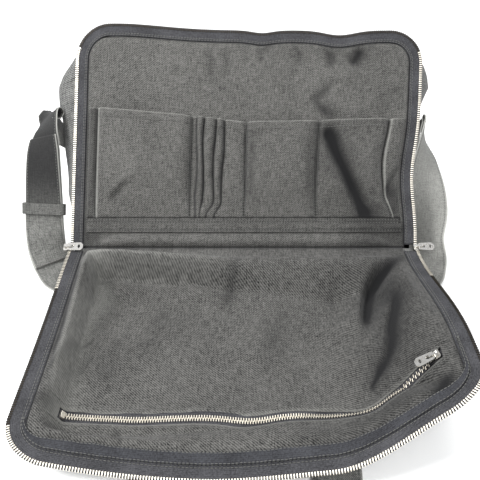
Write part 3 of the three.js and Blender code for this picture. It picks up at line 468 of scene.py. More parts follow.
# Zip tape of the front half: a woven cotton band with a cord along its edge, sewn to the outer cloth on
# the three open sides. Two rows of machine stitches hold it.
TAPE = {"cord": -4.1, "outer": -2.0, "inner_front": 12.5, "inner_back": 9.7, "thick": 0.9,
        "foot_front": 6.9, "foot_back": 5.6, "seat": 0.6}
TAPE_ROWS = {"front": (8.2, 10.4), "back": (6.8, 8.6), "lift": 0.55}
FRONT_TAPE_MID = SHELL_THICK + TAPE["seat"] + TAPE["thick"] / 2
RUNS = {"side": 7.0, "corner": 4.0, "far": 18.0}
RIM_END = 2 * RUNS["side"] + 2 * RUNS["corner"] + RUNS["far"]
THREAD = {"long": 2.5, "pitch": 3.4, "radius": 0.3}


def rim_at(k, inset, foot):
    """Places u, v on the rim outline moved inwards by inset, k running from the left hinge end, up the side,
    round a quarter circle, along the far edge, round again and back down to the right hinge end."""
    r = np.maximum(CORNER - inset, 4)
    half = HALF - inset
    far = HEIGHT - inset
    a = RUNS["side"]
    b = a + RUNS["corner"]
    c = b + RUNS["far"]
    d = c + RUNS["corner"]
    turn_left = np.clip((k - a) / RUNS["corner"], 0, 1) * np.pi / 2
    turn_right = np.clip((k - c) / RUNS["corner"], 0, 1) * np.pi / 2
    across = np.clip((k - b) / RUNS["far"], 0, 1)
    up = np.clip(k / a, 0, 1)
    down = np.clip((k - d) / RUNS["side"], 0, 1)
    u = -half + r * (1 - np.cos(turn_left)) + across * 2 * (half - r) + r * np.sin(turn_right)
    v = foot + up * (far - r - foot) + r * np.sin(turn_left) - r * (1 - np.cos(turn_right))
    return u, v - down * (far - r - foot)


def rim_band(at, outer, inner, height, foot):
    """Band along the rim: a grid of 360 steps along it and 7 across, its cloth measured along and across."""
    k = np.linspace(0, RIM_END, 361)
    across = np.linspace(outer, inner, 8)
    points = np.stack([at(*rim_at(k, inset, foot), height) for inset in across], axis=1)
    cloth = np.meshgrid(length_along(points[:, 0]), across, indexing="ij")
    return grid_mesh(points, cloth, at(0.0, 100.0, 1.0) - at(0.0, 100.0, 0.0))


def unit(a):
    """Vectors of length 1."""
    return a / np.linalg.norm(a, axis=-1, keepdims=True)


def on_line(place, length, line):
    """Points at places along a line whose points lie at the given lengths."""
    return np.stack([np.interp(place, length, line[:, n]) for n in range(3)], -1)


def stitch_mesh(lines):
    """Rows of stitches. Each line is a pair of arrays: points close together, and the way up at each.
    A stitch is a thin six-sided bead with tapered ends, laid along the line at an even pitch."""
    ring = np.arange(6) * np.pi / 3
    ends = np.array([-0.5, -0.3, 0.3, 0.5])
    girth = np.array([0.35, 1.0, 1.0, 0.35])
    bead = np.stack([
        np.repeat(ends * THREAD["long"], 6),
        np.outer(girth, np.cos(ring)).ravel() * THREAD["radius"] * 1.25,
        np.outer(girth, np.sin(ring)).ravel() * THREAD["radius"],
    ], -1)
    i = np.arange(6)
    j = (i + 1) % 6
    sides = [np.stack([6 * n + i, 6 * n + j, 6 * n + 6 + j, 6 * n + 6 + i], -1) for n in range(3)]
    caps = np.array([[0, 5, 4, 3], [0, 3, 2, 1], [18, 19, 20, 21], [18, 21, 22, 23]])
    quads = np.concatenate([*sides, caps])
    corners = []
    for line, up in lines:
        length = length_along(line)
        even = np.arange(THREAD["pitch"] / 2, length[-1], THREAD["pitch"])
        run = unit(on_line(even + 0.2, length, line) - on_line(even - 0.2, length, line))
        side = unit(np.cross(on_line(even, length, up), run))
        axes = np.stack([run, side, np.cross(run, side)], axis=1)
        corners.append((on_line(even, length, line)[:, None] + bead @ axes).reshape(-1, 3))
    corners = np.concatenate(corners)
    starts = len(bead) * np.arange(len(corners) // len(bead))
    return new_mesh(corners, (quads[None] + starts[:, None, None]).reshape(-1, 4))


def surface_line(at, u, v, height):
    """Points on a surface and the way up from it at each, for a row of stitches."""
    return at(u, v, height), at(u, v, height + 1) - at(u, v, height)


def zip_tape_cloth(name, dark, light):
    """Woven cotton zip tape: fine ribs along its length, crossed by a tight weft, dull and slightly blue.
    The ribs and the weft are drawn coarser than the real 0.6 mm so that they show."""
    material, tree, shader = new_material(name)
    place = node(tree, "ShaderNodeUVMap", {}, uv_map="cloth").outputs["UV"]
    ribs = node(tree, "ShaderNodeTexWave", {"Vector": place, "Scale": WAVE / (1.5 * MM), "Distortion": 0.8},
                bands_direction="Y")
    weft = node(tree, "ShaderNodeTexWave", {"Vector": place, "Scale": WAVE / (1.1 * MM), "Distortion": 1.5},
                bands_direction="X")
    yarn = node(tree, "ShaderNodeTexNoise", {
        "Vector": place, "Scale": 1 / (1.8 * MM), "Detail": 3.0, "Roughness": 0.7})
    wash = node(tree, "ShaderNodeTexNoise", {"Vector": place, "Scale": 1 / (30 * MM), "Detail": 3.0})
    weave = node(tree, "ShaderNodeMath", {0: ribs.outputs["Fac"], 1: weft.outputs["Fac"]},
                 operation="MULTIPLY")
    tone = node(tree, "ShaderNodeMath", {0: weave.outputs[0], 1: 0.2, 2: yarn.outputs["Fac"]},
                operation="MULTIPLY_ADD")
    tone = node(tree, "ShaderNodeMath", {0: wash.outputs["Fac"], 1: 0.5, 2: tone.outputs[0]},
                operation="MULTIPLY_ADD")
    shade = node(tree, "ShaderNodeMapRange", {"Value": tone.outputs[0], "From Min": 0.58, "From Max": 1.06})
    colour = node(tree, "ShaderNodeMix", {
        "Factor": shade.outputs["Result"], "A": linear(dark), "B": linear(light)}, data_type="RGBA")
    bump = node(tree, "ShaderNodeBump", {"Height": weave.outputs[0], "Strength": 0.4, "Distance": 0.3 * MM})
    wire(tree, shader, {
        "Base Color": colour.outputs["Result"], "Normal": bump.outputs["Normal"], "Roughness": 0.85,
        "Specular IOR Level": 0.25})
    return material


def sewing_thread(name, dark, light):
    """Polyester sewing thread: twisted plies, a little shiny, close to the grey of the cloth."""
    material, tree, shader = new_material(name)
    place = node(tree, "ShaderNodeTexCoord", {}).outputs["Object"]
    fibre = node(tree, "ShaderNodeTexNoise", {"Vector": place, "Scale": 1 / (2.0 * MM), "Detail": 2.0})
    colour = node(tree, "ShaderNodeMix", {
        "Factor": fibre.outputs["Fac"], "A": linear(dark), "B": linear(light)}, data_type="RGBA")
    wire(tree, shader, {"Base Color": colour.outputs["Result"], "Roughness": 0.55})
    return material


zip_tape = zip_tape_cloth("woven_zip_tape", "#1f1f21", "#4b4b4e")
grey_thread = sewing_thread("grey_sewing_thread", "#3a3a38", "#62625e")
tape_top = FRONT_TAPE_MID + TAPE["thick"] / 2
mesh = rim_band(front_at, TAPE["cord"], TAPE["inner_front"], tape_top, TAPE["foot_front"])
front_tape = add_piece("front_zip_tape", mesh, zip_tape, ["front_tape"], TAPE["thick"])
k = np.linspace(0, RIM_END, 2000)
sewn = []
for inset in TAPE_ROWS["front"]:
    u, v = rim_at(k, inset, TAPE["foot_front"])
    sewn.append(surface_line(front_at, u, v, FRONT_TAPE_MID + TAPE_ROWS["lift"]))
add_piece("front_tape_stitches", stitch_mesh(sewn), grey_thread)

# Metal teeth of the main zip: each is a stamped nickel tooth whose two legs are pinched over the cord
# on the edge of the tape. They stand in one even row round the three open sides of each half.
# Stretches of the rim, in steps of k, whose teeth are painted dark as painted shade.
FRONT_SHADED_TEETH = [(2.0, 7.5), (33.0, 38.0)]
TOOTH = {"pitch": 2.4, "wide": 1.2, "head": 2.3, "neck": 0.15, "leg": 1.0, "thick": 2.3, "split": 1.0,
         "row": -3.0, "tip": -5.0, "narrowing": (0.72, 1, 0.8)}
BLOCK_FACES = np.array([[0, 1, 3, 2], [4, 6, 7, 5], [0, 4, 5, 1], [2, 3, 7, 6], [0, 2, 6, 4], [1, 5, 7, 3]])
BLOCK_FLANKS = [1, 1, 0, 0, 0, 0]


def box_corners(low, high):
    """Eight corners of a block between two corners, in the order that BLOCK_FACES expects."""
    x, y, z = np.meshgrid([0, 1], [0, 1], [0, 1], indexing="ij")
    share = np.stack([x, y, z], -1).reshape(-1, 3)
    return np.asarray(low) + share * (np.asarray(high) - np.asarray(low))


def tooth_mesh(at, run, out, blocks, dark=0):
    """Mesh of many like teeth: blocks are corners in a tooth's own axes (along the row, outwards, up). The
    two flanks of a block, which face its neighbours, take the second material. So does a tooth that is
    painted dark as shade."""
    shape = np.concatenate(blocks)
    axes = np.stack([run, out, np.cross(run, out)], axis=1)
    corners = (at[:, None] + shape @ axes).reshape(-1, 3)
    faces = np.concatenate([BLOCK_FACES + 8 * n for n in range(len(blocks))])
    many = (faces[None] + len(shape) * np.arange(len(at))[:, None, None]).reshape(-1, 4)
    mesh = new_mesh(corners, many, False)
    flanks = np.tile(BLOCK_FLANKS, (len(at), len(blocks)))
    mesh.polygons.foreach_set("material_index", np.maximum(flanks, np.reshape(dark, (-1, 1))).ravel())
    return mesh


def along_rim(at, inset, foot, height, pitch):
    """Places k on a line along the rim, spaced evenly by pitch; at gives a point on its half of the case."""
    k = np.linspace(0, RIM_END, 4000)
    length = length_along(at(*rim_at(k, inset, foot), height))
    return np.interp(np.arange(pitch / 2, length[-1], pitch), length, k)


def rim_teeth(at, mid, foot, shaded_stretches):
    """Row of teeth on the tape's edge: a narrowing head that stands out from it, and a leg on each face.
    Teeth on the shaded stretches of the rim are painted dark all over, as painted shade."""
    k = along_rim(at, TOOTH["row"], foot, mid, TOOTH["pitch"])
    here = at(*rim_at(k, TAPE["outer"], foot), mid)
    out = unit(at(*rim_at(k, TOOTH["tip"], foot), mid) - here)
    ahead, behind = (at(*rim_at(k + step, TOOTH["row"], foot), mid) for step in (0.01, -0.01))
    run = ahead - behind
    run = unit(run - out * (run * out).sum(axis=-1, keepdims=True))
    half, thick, split = TOOTH["wide"] / 2, TOOTH["thick"] / 2, TOOTH["split"] / 2
    head = box_corners((-half, TOOTH["neck"], -thick), (half, TOOTH["head"], thick))
    head[[2, 3, 6, 7]] *= TOOTH["narrowing"]
    legs = []
    for side in (-1, 1):
        legs.append(box_corners((-half, -TOOTH["leg"], side * split), (half, TOOTH["neck"], side * thick)))
    dark = np.any([(k > start) & (k < end) for start, end in shaded_stretches], axis=0)
    return tooth_mesh(here, run, out, [head, *legs], dark)


def plated_metal(name, colour, dull, rough):
    """Plated brass, tumbled and lightly worn: its colour, with duller rubbed patches about 3 mm across."""
    material, tree, shader = new_material(name)
    place = node(tree, "ShaderNodeTexCoord", {}).outputs["Object"]
    rub = node(tree, "ShaderNodeTexNoise", {"Vector": place, "Scale": 1 / (3.0 * MM), "Detail": 3.0})
    tint = node(tree, "ShaderNodeMix", {
        "Factor": rub.outputs["Fac"], "A": linear(colour), "B": linear(dull)}, data_type="RGBA")
    gloss = node(tree, "ShaderNodeMapRange", {
        "Value": rub.outputs["Fac"], "To Min": rough - 0.08, "To Max": rough + 0.14})
    wire(tree, shader, {
        "Base Color": tint.outputs["Result"], "Roughness": gloss.outputs["Result"], "Metallic": 1.0})
    return material


tooth_nickel = plated_metal("nickel_plated_teeth", "#fbf6ec", "#ddd5c4", 0.5)
# The flanks' tarnished colour, also used as painted shade on whole teeth along shaded stretches.
tarnish_and_shade = plated_metal("tarnished_flank_and_painted_shade", "#4a443c", "#2a2723", 0.6)
mesh = rim_teeth(front_at, FRONT_TAPE_MID, TAPE["foot_front"], FRONT_SHADED_TEETH)
front_teeth = add_piece("front_zip_teeth", mesh, tooth_nickel, ["front_teeth"])
front_teeth.data.materials.append(tarnish_and_shade)

# Binding along the far edge of the front half: a smooth bias strip, folded and stitched over the raw
# edges of the lining and the tape. It tapers out round both corners.
BINDING = {"outer": 9.6, "inner": 19.0, "start": 7.0, "end": 34.0, "taper": 5.0, "thick": 1.0, "clear": 0.6,
           "crown": 0.8, "uneven": 0.25, "stitch_lift": 0.15}


def upright_line(line):
    """Points of a line and the way straight up at each, for a row of stitches."""
    return line, np.tile((0.0, 0.0, 1.0), (len(line), 1))


k = np.linspace(BINDING["start"], BINDING["end"], 281)
full = smooth(np.minimum(k - BINDING["start"], BINDING["end"] - k), -1, BINDING["taper"])
across = np.linspace(0, 1, 15)
wide = BINDING["inner"] - BINDING["outer"]
points = []
for share in across:
    u, v = rim_at(k, BINDING["outer"] + share * full * wide, TAPE["foot_front"])
    clear = lining_loose(u, v) + LINING["thick"] + BINDING["clear"] + BINDING["thick"]
    crown = BINDING["crown"] * np.sin(np.pi * share) + BINDING["uneven"] * np.sin(k * 5.1 + 4 * share)
    points.append(front_at(u, v, clear, lining_folds(u, v) + crown * full))
points = np.stack(points, axis=1)
cloth = np.meshgrid(length_along(points[:, 0]), wide * across, indexing="ij")
bias_cloth = zip_tape_cloth("bias_binding", "#1a1a1d", "#404145")
front_binding = add_piece(
    "front_binding_strip", grid_mesh(points, cloth, UP), bias_cloth, ["front_binding"],
    BINDING["thick"],
)
sewn = [upright_line(points[:, column] + (0, 0, BINDING["stitch_lift"])) for column in (1, 13)]
add_piece("binding_stitches", stitch_mesh(sewn), grey_thread)

# Pocket zip in the lining: woven tape under the slot, two rows of nickel teeth closed into one chain,
# a stamped stop at its left end, and a slider with a flat pull tab at its right end. The sliders and
# pulls of the main zip are cast and plated alike.
METAL_SEAT = 0.35
STOP = {"at": -162.8, "long": 4.6, "wide": 6.4, "thick": 2.6}
CHAIN = {"start": -160.4, "end": 160.8, "pitch": 2.35, "wide": 1.2, "reach": 2.9, "past": 0.6, "thick": 1.6}
SLOT_STITCH = {"beside": 4.2, "lift": 0.1, "puff": 0.7}


def zip_point(u, across, above):
    """Point beside the pocket zip's middle and above its tape, which lies a little under the lining."""
    loose = lining_loose(u, zip_middle(u))
    under = ZIP["under"] - ZIP["raised"] * smooth(ZIP["end"] - u, 12, 30)
    under = np.minimum(under, loose - SHELL_THICK - TAPE["thick"] - ZIP["clear"])
    return front_at(u, zip_middle(u) + across, loose - under + above)


def zip_axes(u, side, thick):
    """Middle, way along and way out to one side, at places along the zip, of metal that lies on its tape."""
    run = unit(zip_point(u + 0.5, 0, 0) - zip_point(u - 0.5, 0, 0))
    out = unit(zip_point(u, side, 0) - zip_point(u, 0, 0))
    return zip_point(u, 0, METAL_SEAT + thick / 2), run, out


def closed_mesh(meshes, gap=None, ends=False):
    """One mesh of several: points within the gap merge, open ends are filled, all faces turn outwards."""
    joined = bmesh.new()
    for mesh in meshes:
        joined.from_mesh(mesh)
    if gap:
        bmesh.ops.remove_doubles(joined, verts=joined.verts, dist=gap * MM)
    if ends:
        bmesh.ops.holes_fill(joined, edges=[e for e in joined.edges if e.is_boundary])
    bmesh.ops.recalc_face_normals(joined, faces=joined.faces)
    joined.to_mesh(meshes[0])
    joined.free()
    return meshes[0]


def round_edges(piece, width, segments):
    """Small rounding of a metal piece's edges, which catches the light."""
    bevel = piece.modifiers.new("rounded_edges", "BEVEL")
    bevel.width = width * MM
    bevel.segments = segments


across = np.linspace(-0.5, 0.5, 9) * ZIP["tape"]
u, v = np.meshgrid(np.linspace(-ZIP["end"], ZIP["end"], 175), across, indexing="ij")
pocket_tape = add_piece(
    "pocket_zip_tape_cloth", grid_mesh(zip_point(u, v, 0), (u, v), UP), zip_tape,
    ["pocket_zip_tape"], TAPE["thick"],
)
dull_nickel = plated_metal("dull_nickel_flank", "#d6d0c4", "#a39b8d", 0.6)
half, thick = CHAIN["wide"] / 2, CHAIN["thick"] / 2
body = box_corners((-half, -CHAIN["past"], -thick), (half, CHAIN["reach"], thick))
body[[0, 1, 4, 5]] *= (0.8, 1, 0.75)
teeth = []
for side in (-1, 1):
    u = np.arange(CHAIN["start"] + (side + 1) * CHAIN["pitch"] / 4, CHAIN["end"], CHAIN["pitch"])
    teeth.append(tooth_mesh(*zip_axes(u, side, CHAIN["thick"]), [body]))
chain = add_piece("pocket_zip_chain_teeth", closed_mesh(teeth), tooth_nickel, ["pocket_zip_chain"])
chain.data.materials.append(dull_nickel)
round_edges(chain, 0.35, 1)
size = np.array([STOP["long"], STOP["wide"], STOP["thick"]])
mesh = tooth_mesh(*zip_axes(np.array([STOP["at"]]), 1, STOP["thick"]), [box_corners(-size / 2, size / 2)])
mesh.polygons.foreach_set("material_index", np.zeros(6, int))
stop = add_piece("pocket_zip_stop_block", mesh, tooth_nickel, ["pocket_zip_stop"])
round_edges(stop, 0.5, 2)
u = np.linspace(-ZIP["end"], ZIP["end"], 700)
sewn = []
for side in (-1, 1):
    v = zip_middle(u) + side * (slot_half + SLOT_STITCH["beside"])
    top = lining_loose(u, v) + LINING["thick"] + SLOT_STITCH["lift"]
    sewn.append(upright_line(front_at(u, v, top, lining_folds(u, v) + SLOT_STITCH["puff"])))
add_piece("pocket_zip_stitches", stitch_mesh(sewn), grey_thread)

polished_nickel = plated_metal("polished_nickel_slider", "#f7f5f1", "#a8a49c", 0.2)
for place in ("pocket_zip", "left", "right"):
    for part in ("slider", "pull"):
        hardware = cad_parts[f"{place}_{part}"]
        hardware.data.materials.clear()
        hardware.data.materials.append(polished_nickel)
        round_edges(hardware, 0.25, 2)

# Back half's outer cloth: side walls and back panel of the same twill, seamed together. The side walls
# bulge where nothing fills the case, the foot of the panel rests on the floor.
LEAN = np.radians(51)
UP_SLOPE = np.array([0, np.cos(LEAN), np.sin(LEAN)])
OUT = np.array([0, -np.sin(LEAN), np.cos(LEAN)])
LEAN_RIGHT = 7.5
DRAWN_IN = {"by": 6.8, "at": 85, "spread": 45}
TOP_WAVES = [
    # place across, rise, spread
    (-155, 8, 75),
    (14, -3, 16),
    (103, -5.5, 24),
]
BACK_RINGS = np.array([
    # out, depth, bulge, sag
    (-2, 1.6, 0, 2),
    (1, 9, 0.5, 4),
    (4, 22, 1, 7),
    (5, 38, 0.9, 11),
    (-1, 50, 0.5, 11),
    (-14, 58, 0.1, 4),
    (-34, 61, 0, 0),
    (-90, 62, 0, 0),
    (-123, 62, 0, 0),
], float)
BULGE_V = [20, 42, 68, 126, 150, 172, 192, 206, 224, 248]
BULGE_LEFT = [0, 4, 12, 17, 20, 24, 26, 22, 8, 0]
BULGE_RIGHT = [0, 0, 0, 0, 1, 8, 16, 13, 5, 0]
PANEL_SEAM = {"depth": 54, "rise": 1.3, "wide": 1.6}
HINGE_RUN = 10  # steps of k along the hinge side
STEP_MM = 21.0  # cloth to one step of k


def back_at(u, v, w):
    """Point on the back half: u across, v up its slope, w out towards the viewer. It leans a little to the
    right, its right edge is drawn in at one height, and its far edge waves."""
    drawn = DRAWN_IN["by"] * smooth(u, 40, HALF) * bell(v, DRAWN_IN["at"], DRAWN_IN["spread"])
    up = v + waves(u, TOP_WAVES) * smooth(v, 0.62 * HEIGHT, HEIGHT)
    x = u + LEAN_RIGHT * np.clip(v / HEIGHT, 0, 1) - drawn
    base = np.stack([x, np.full_like(x, HINGE["y"]), np.full_like(x, HINGE["z"])], -1)
    return base + np.asarray(up)[..., None] * UP_SLOPE + np.asarray(w * np.ones_like(x))[..., None] * OUT


def smooth_route(stations, t):
    """Points on a smooth curve through the stations: a centripetal spline with equal shares of t to each."""
    p = np.asarray(stations, float)
    p = np.vstack([2 * p[0] - p[1], p, 2 * p[-1] - p[-2]])
    place = np.clip(t, 0, 1) * (len(stations) - 1)
    i = np.minimum(place.astype(int), len(stations) - 2)
    w = (place - i)[:, None]
    p0, p1, p2, p3 = p[i], p[i + 1], p[i + 2], p[i + 3]
    steps = (p1 - p0, p2 - p1, p3 - p2)
    d0, d1, d2 = (np.linalg.norm(step, axis=1, keepdims=True) ** 0.5 for step in steps)
    d1 = np.where(d1 < 1e-4, 1.0, d1)
    d0 = np.where(d0 < 1e-4, d1, d0)
    d2 = np.where(d2 < 1e-4, d1, d2)
    m1 = ((p1 - p0) / d0 - (p2 - p0) / (d0 + d1) + (p2 - p1) / d1) * d1
    m2 = ((p2 - p1) / d1 - (p3 - p1) / (d1 + d2) + (p3 - p2) / d2) * d1
    return p1 + m1 * w + (3 * (p2 - p1) - 2 * m1 - m2) * w ** 2 + (2 * (p1 - p2) + m1 + m2) * w ** 3


def back_shell_at(row, k):
    """Point on the back half's outer cloth: row is out, depth, bulge and sag; k runs round the rim and then
    on along the hinge side. The bulge moves the side walls out, and the seam stands up as a thin ridge."""
    out, depth, bulge, sag = row
    u, v = rim_at(np.minimum(k, RIM_END), -out, -out - sag)
    home = np.clip((k - RIM_END) / HINGE_RUN, 0, 1)
    u = np.where(k > RIM_END, (HALF + out) * (1 - 2 * home), u)
    v = np.where(k > RIM_END, -out - sag, v)
    near = smooth(np.abs(u), 140, HALF)
    side = np.where(u < 0, np.interp(v, BULGE_V, BULGE_LEFT), np.interp(v, BULGE_V, BULGE_RIGHT))
    slack = 1.1 * ripple(k * 20, np.full_like(k, depth * 1.5 - out), 90) * smooth(depth, 4, 20)
    point = back_at(u + np.sign(u) * bulge * near * side, v, -depth + 0 * u)
    seam = PANEL_SEAM["rise"] * bell(depth, PANEL_SEAM["depth"], PANEL_SEAM["wide"]) + slack * (out > -60)
    away = unit(point - back_at(0 * u, np.clip(v, 60, 190), -30 + 0 * u))
    point = point + away * np.asarray(seam)[..., None]
    point[..., 2] = np.maximum(point[..., 2], 0.02)
    return point


ring_rows = smooth_route(BACK_RINGS, np.linspace(0, 1, 73))
k = np.r_[np.linspace(0, RIM_END, 241), np.linspace(RIM_END, RIM_END + HINGE_RUN, 61)[1:]]
points = np.stack([back_shell_at(row, k) for row in ring_rows])
cloth = np.meshgrid(length_along(ring_rows[:, :2]), k * STEP_MM, indexing="ij")
mesh = closed_mesh([grid_mesh(points, cloth)], 0.02)
back_shell = add_piece("back_shell_cloth", mesh, shell_twill, ["back_shell"], SHELL_THICK)

# Zip tape and teeth of the back half: the other side of the same zip, woven and stamped alike, sewn to
# the rim of the leaning half. Most of its far teeth are painted dark, as painted shade.
BACK_TAPE_MID = -0.75
# Stretch of the far rim whose teeth are painted dark as painted shade.
BACK_SHADED_TEETH = [(8.0, 32.0)]
tape_top = BACK_TAPE_MID + TAPE["thick"] / 2
mesh = rim_band(back_at, TAPE["cord"], TAPE["inner_back"], tape_top, TAPE["foot_back"])
back_tape = add_piece("back_zip_tape", mesh, zip_tape, ["back_tape"], TAPE["thick"])
k = np.linspace(0, RIM_END, 2000)
sewn = []
for inset in TAPE_ROWS["back"]:
    u, v = rim_at(k, inset, TAPE["foot_back"])
    sewn.append(surface_line(back_at, u, v, BACK_TAPE_MID + TAPE_ROWS["lift"]))
add_piece("back_tape_stitches", stitch_mesh(sewn), grey_thread)
mesh = rim_teeth(back_at, BACK_TAPE_MID, TAPE["foot_back"], BACK_SHADED_TEETH)
back_teeth = add_piece("back_zip_teeth", mesh, tooth_nickel, ["back_teeth"])
back_teeth.data.materials.append(tarnish_and_shade)

# Organiser panel: the lining of the back half, turned in and top-stitched along the zip. It has soft
# dents near its far edge and a stuffed-looking roll above the hinge.
PANEL = {"inset": 10.5, "face": 0.2, "thick": 1.5, "roll": 7.0, "roll_to": 19.0, "roll_drop": 9,
         "roll_fade": 150, "roll_end": 178}
PANEL_CREASES = [
    # rows as for the front lining
    ([(122, 212), (108, 199), (91, 183)], 2.6, 9.0, 0.3, 0.6),
    ([(116, 207), (97, 190), (79, 173), (85, 163), (97, 151)], -3.6, 5.5),
    ([(91, 236), (95, 222), (92, 212)], -3.6, 6.0),
    ([(128, 236), (125, 224), (118, 212)], -3.6, 6.5),
    ([(55, 236), (58, 220), (57, 210)], -2.4, 5.0),
    ([(9, 238), (14, 224), (13, 214)], -2.2, 3.6),
    ([(20, 237), (22, 224)], -1.8, 3.6),
    ([(-46, 236), (-43, 212), (-41, 190)], -1.8, 4.0),
    ([(-27, 236), (-24, 212), (-25, 196)], -1.8, 4.0),
    ([(-5, 236), (-3, 216)], -1.6, 3.6),
    ([(-36, 236), (-33, 206)], 1.4, 4.0),
    ([(-80, 216), (-88, 186)], 1.0, 9.0),
    ([(168, 190), (160, 168), (150, 152)], -1.6, 9.0),
    ([(152, 222), (146, 200), (150, 176)], 1.4, 9.0),
]
PANEL_DARK = [
    # painted shade, in the same rows
    ([(82, 166), (94, 157), (104, 150)], 0.45, 8.0),
    ([(130, 238), (126, 226), (112, 214)], 0.3, 9.0),
    ([(62, 236), (110, 232), (156, 224)], 0.2, 14.0),
    ([(176, 232), (178, 200), (180, 160)], 0.18, 9.0, 0.1),
]


def panel_face(u, v):
    """Distance of the panel's face out from the plane of the rim: a roll above the hinge, and creases."""
    ends = 1 - smooth(np.abs(u), PANEL["roll_fade"], PANEL["roll_end"])
    top = PANEL["roll_to"] - PANEL["roll_drop"] * smooth(np.abs(u), 135, 180)
    arch = np.sin(np.pi * np.clip(v / top, 0, 1))
    return PANEL["face"] + PANEL["roll"] * ends * arch + creases(u, v, PANEL_CREASES)


far_edge = HEIGHT - PANEL["inset"]
rows = np.r_[np.linspace(1.5, 20, 22), np.linspace(20, far_edge, 100)[1:]]
v, s = np.meshgrid(rows, np.linspace(-1, 1, 181), indexing="ij")
u = s * inset_half(v, PANEL["inset"])
to_edge = np.minimum((1 - np.abs(s)) * inset_half(v, PANEL["inset"]), far_edge - v)
turned_in = 0.7 * bell(to_edge, 1.4, 1.3) - 0.5 * bell(to_edge, 0, 0.8)
uneven = 0.5 * ripple(u, v, 80) * smooth(v, 165, 185) * smooth(to_edge, 2, 14)
pucker = 0.35 * np.sin(s * 190 + 2 * np.sin(s * 31)) * np.exp(-to_edge / 6) * smooth(v, 200, 225)
# Painted shade in the creases, along the panel's edges, along the hinge, at the roll's right end and on the
# left strip; a painted highlight along the turned edge.
shade_paint = 0.13 * np.maximum(-creases(u, v, PANEL_CREASES), 0) + creases(u, v, PANEL_DARK)
shade_paint += 0.85 * bell(to_edge, 0, 1.5) + 0.8 * (1 - smooth(v, 1.5, 5))
shade_paint += (0.1 + 0.4 * smooth(u, 95, 150)) * (1 - smooth(v, 20, 36))
shade_paint += 0.36 * smooth(-u, 160, 170) * (1 - smooth(v, 150, 165))
mesh = grid_mesh(
    back_at(u, v, panel_face(u, v) + turned_in + uneven + pucker), (u, v), OUT,
    wear=0.12 * bell(to_edge, 3.2, 0.8) * smooth(v, 20, 40), unfaded=shade_paint,
)
organiser = add_piece(
    "organiser_panel_cloth", mesh, lining_twill, ["organiser_panel"], PANEL["thick"])

# Organiser pockets: patches of the lining twill with a turned hem, sewn down at their sides and foot.
# The outer two have a folded bellows, the narrow one is tucked into pen tubes, the right one hangs slack.
HEM_U = [-175, -63, -2, 82, 163, 182]
HEM_V = [162, 152.5, 145.5, 146.7, 149, 150]
POCKET_FOOT = 36.35
POCKET_THICK = 1.4
SEATED = 0.55
STITCH_LIFT = 0.1
HEM_ROW = 0.93
SIDE_ROW = 0.5
PLEATED = 4
TUBES = 0
POCKETS = [
    # name, start, end, bulge, how square its section is, columns
    ("pocket_left_pleat", -181.0, -172.4, 4.5, PLEATED, 13),
    ("pocket_left", -172.0, -63.4, 8.5, 12, 90),
    ("pocket_pens", -63.0, -1.4, 8.0, TUBES, 90),
    ("pocket_middle", -1.0, 81.6, 8.5, 10, 70),
    ("pocket_right", 82.0, 163.0, 11.0, 10, 70),
    ("pocket_right_pleat", 163.4, 181.0, 6.0, PLEATED, 21),
]
FOLDED_EDGE = {"pockets": ("pocket_left", "pocket_right_pleat"), "at": 2.2}
PEN_TUCKS = [
    # start and end across the pocket, height
    (0.1, 0.225, 1.0),
    (0.225, 0.43, 1.0),
    (0.43, 0.585, 1.0),
    (0.585, 1.0, 0.7),
]
POCKET_DARK = {
    # painted shade, in rows as for the front lining
    "pocket_left_pleat": [
        ([(-178, 160), (-178, 30)], 0.4, 20.0, 0.01),
    ],
    "pocket_middle": [
        ([(77, 150), (77, 36)], 0.28, 6.0, 0.05),
        ([(4, 148), (4, 44)], 0.24, 8.0, 0.2),
        ([(64, 148), (62, 104)], 0.14, 10.0),
    ],
    "pocket_right": [
        ([(86, 143), (100, 128), (107, 112), (116, 96), (122, 80), (130, 64), (135, 48), (146, 34)],
         0.46, 11.0, 0.1),
        ([(130, 36), (150, 38), (160, 52)], 0.4, 12.0, 0.1),
        ([(96, 148), (90, 116), (98, 74)], 0.28, 13.0),
        ([(126, 156), (128, 100), (126, 30)], 0.15, 40.0, 0.05),
    ],
    "pocket_right_pleat": [
        ([(172, 28), (172, 60), (172, 80)], 0.6, 14.0, 0.3),
        ([(172, 160), (172, 60)], 0.1, 30.0, 0.05),
    ],
}
POCKET_CREASES = {
    # rows as for the front lining
    "pocket_left": [
        ([(-131, 82), (-144, 66), (-157, 51)], -3.6, 4.5),
        ([(-124, 92), (-140, 76), (-158, 60)], 2.2, 6.0),
        ([(-162, 150), (-163, 90), (-162, 44)], -2.2, 4.0),
        ([(-74, 146), (-78, 120), (-76, 90)], 1.2, 8.0),
        ([(-110, 140), (-104, 100), (-112, 64)], -1.0, 14.0),
    ],
    "pocket_middle": [
        ([(8, 140), (7, 100), (6, 56)], -2.6, 5.0),
        ([(72, 138), (74, 100), (74, 50)], -2.6, 5.0),
        ([(20, 136), (12, 128)], -1.4, 5.0),
        ([(40, 120), (44, 84), (38, 52)], 1.4, 14.0),
    ],
    "pocket_right": [
        ([(88, 141), (104, 109), (124, 74), (135, 51), (144, 36)], -9.5, 7.5, 0.12),
        ([(110, 130), (126, 102), (142, 72)], 2.4, 8.0),
        ([(88, 110), (100, 80), (112, 56)], 1.6, 8.0),
        ([(150, 140), (154, 90), (152, 44)], -2.0, 4.5),
    ],
    "pocket_right_pleat": [
        ([(164, 60), (172, 76), (181, 92)], -5.0, 4.5, 0.02),
        ([(170, 140), (171, 110), (170, 90)], 1.0, 4.0),
    ],
}


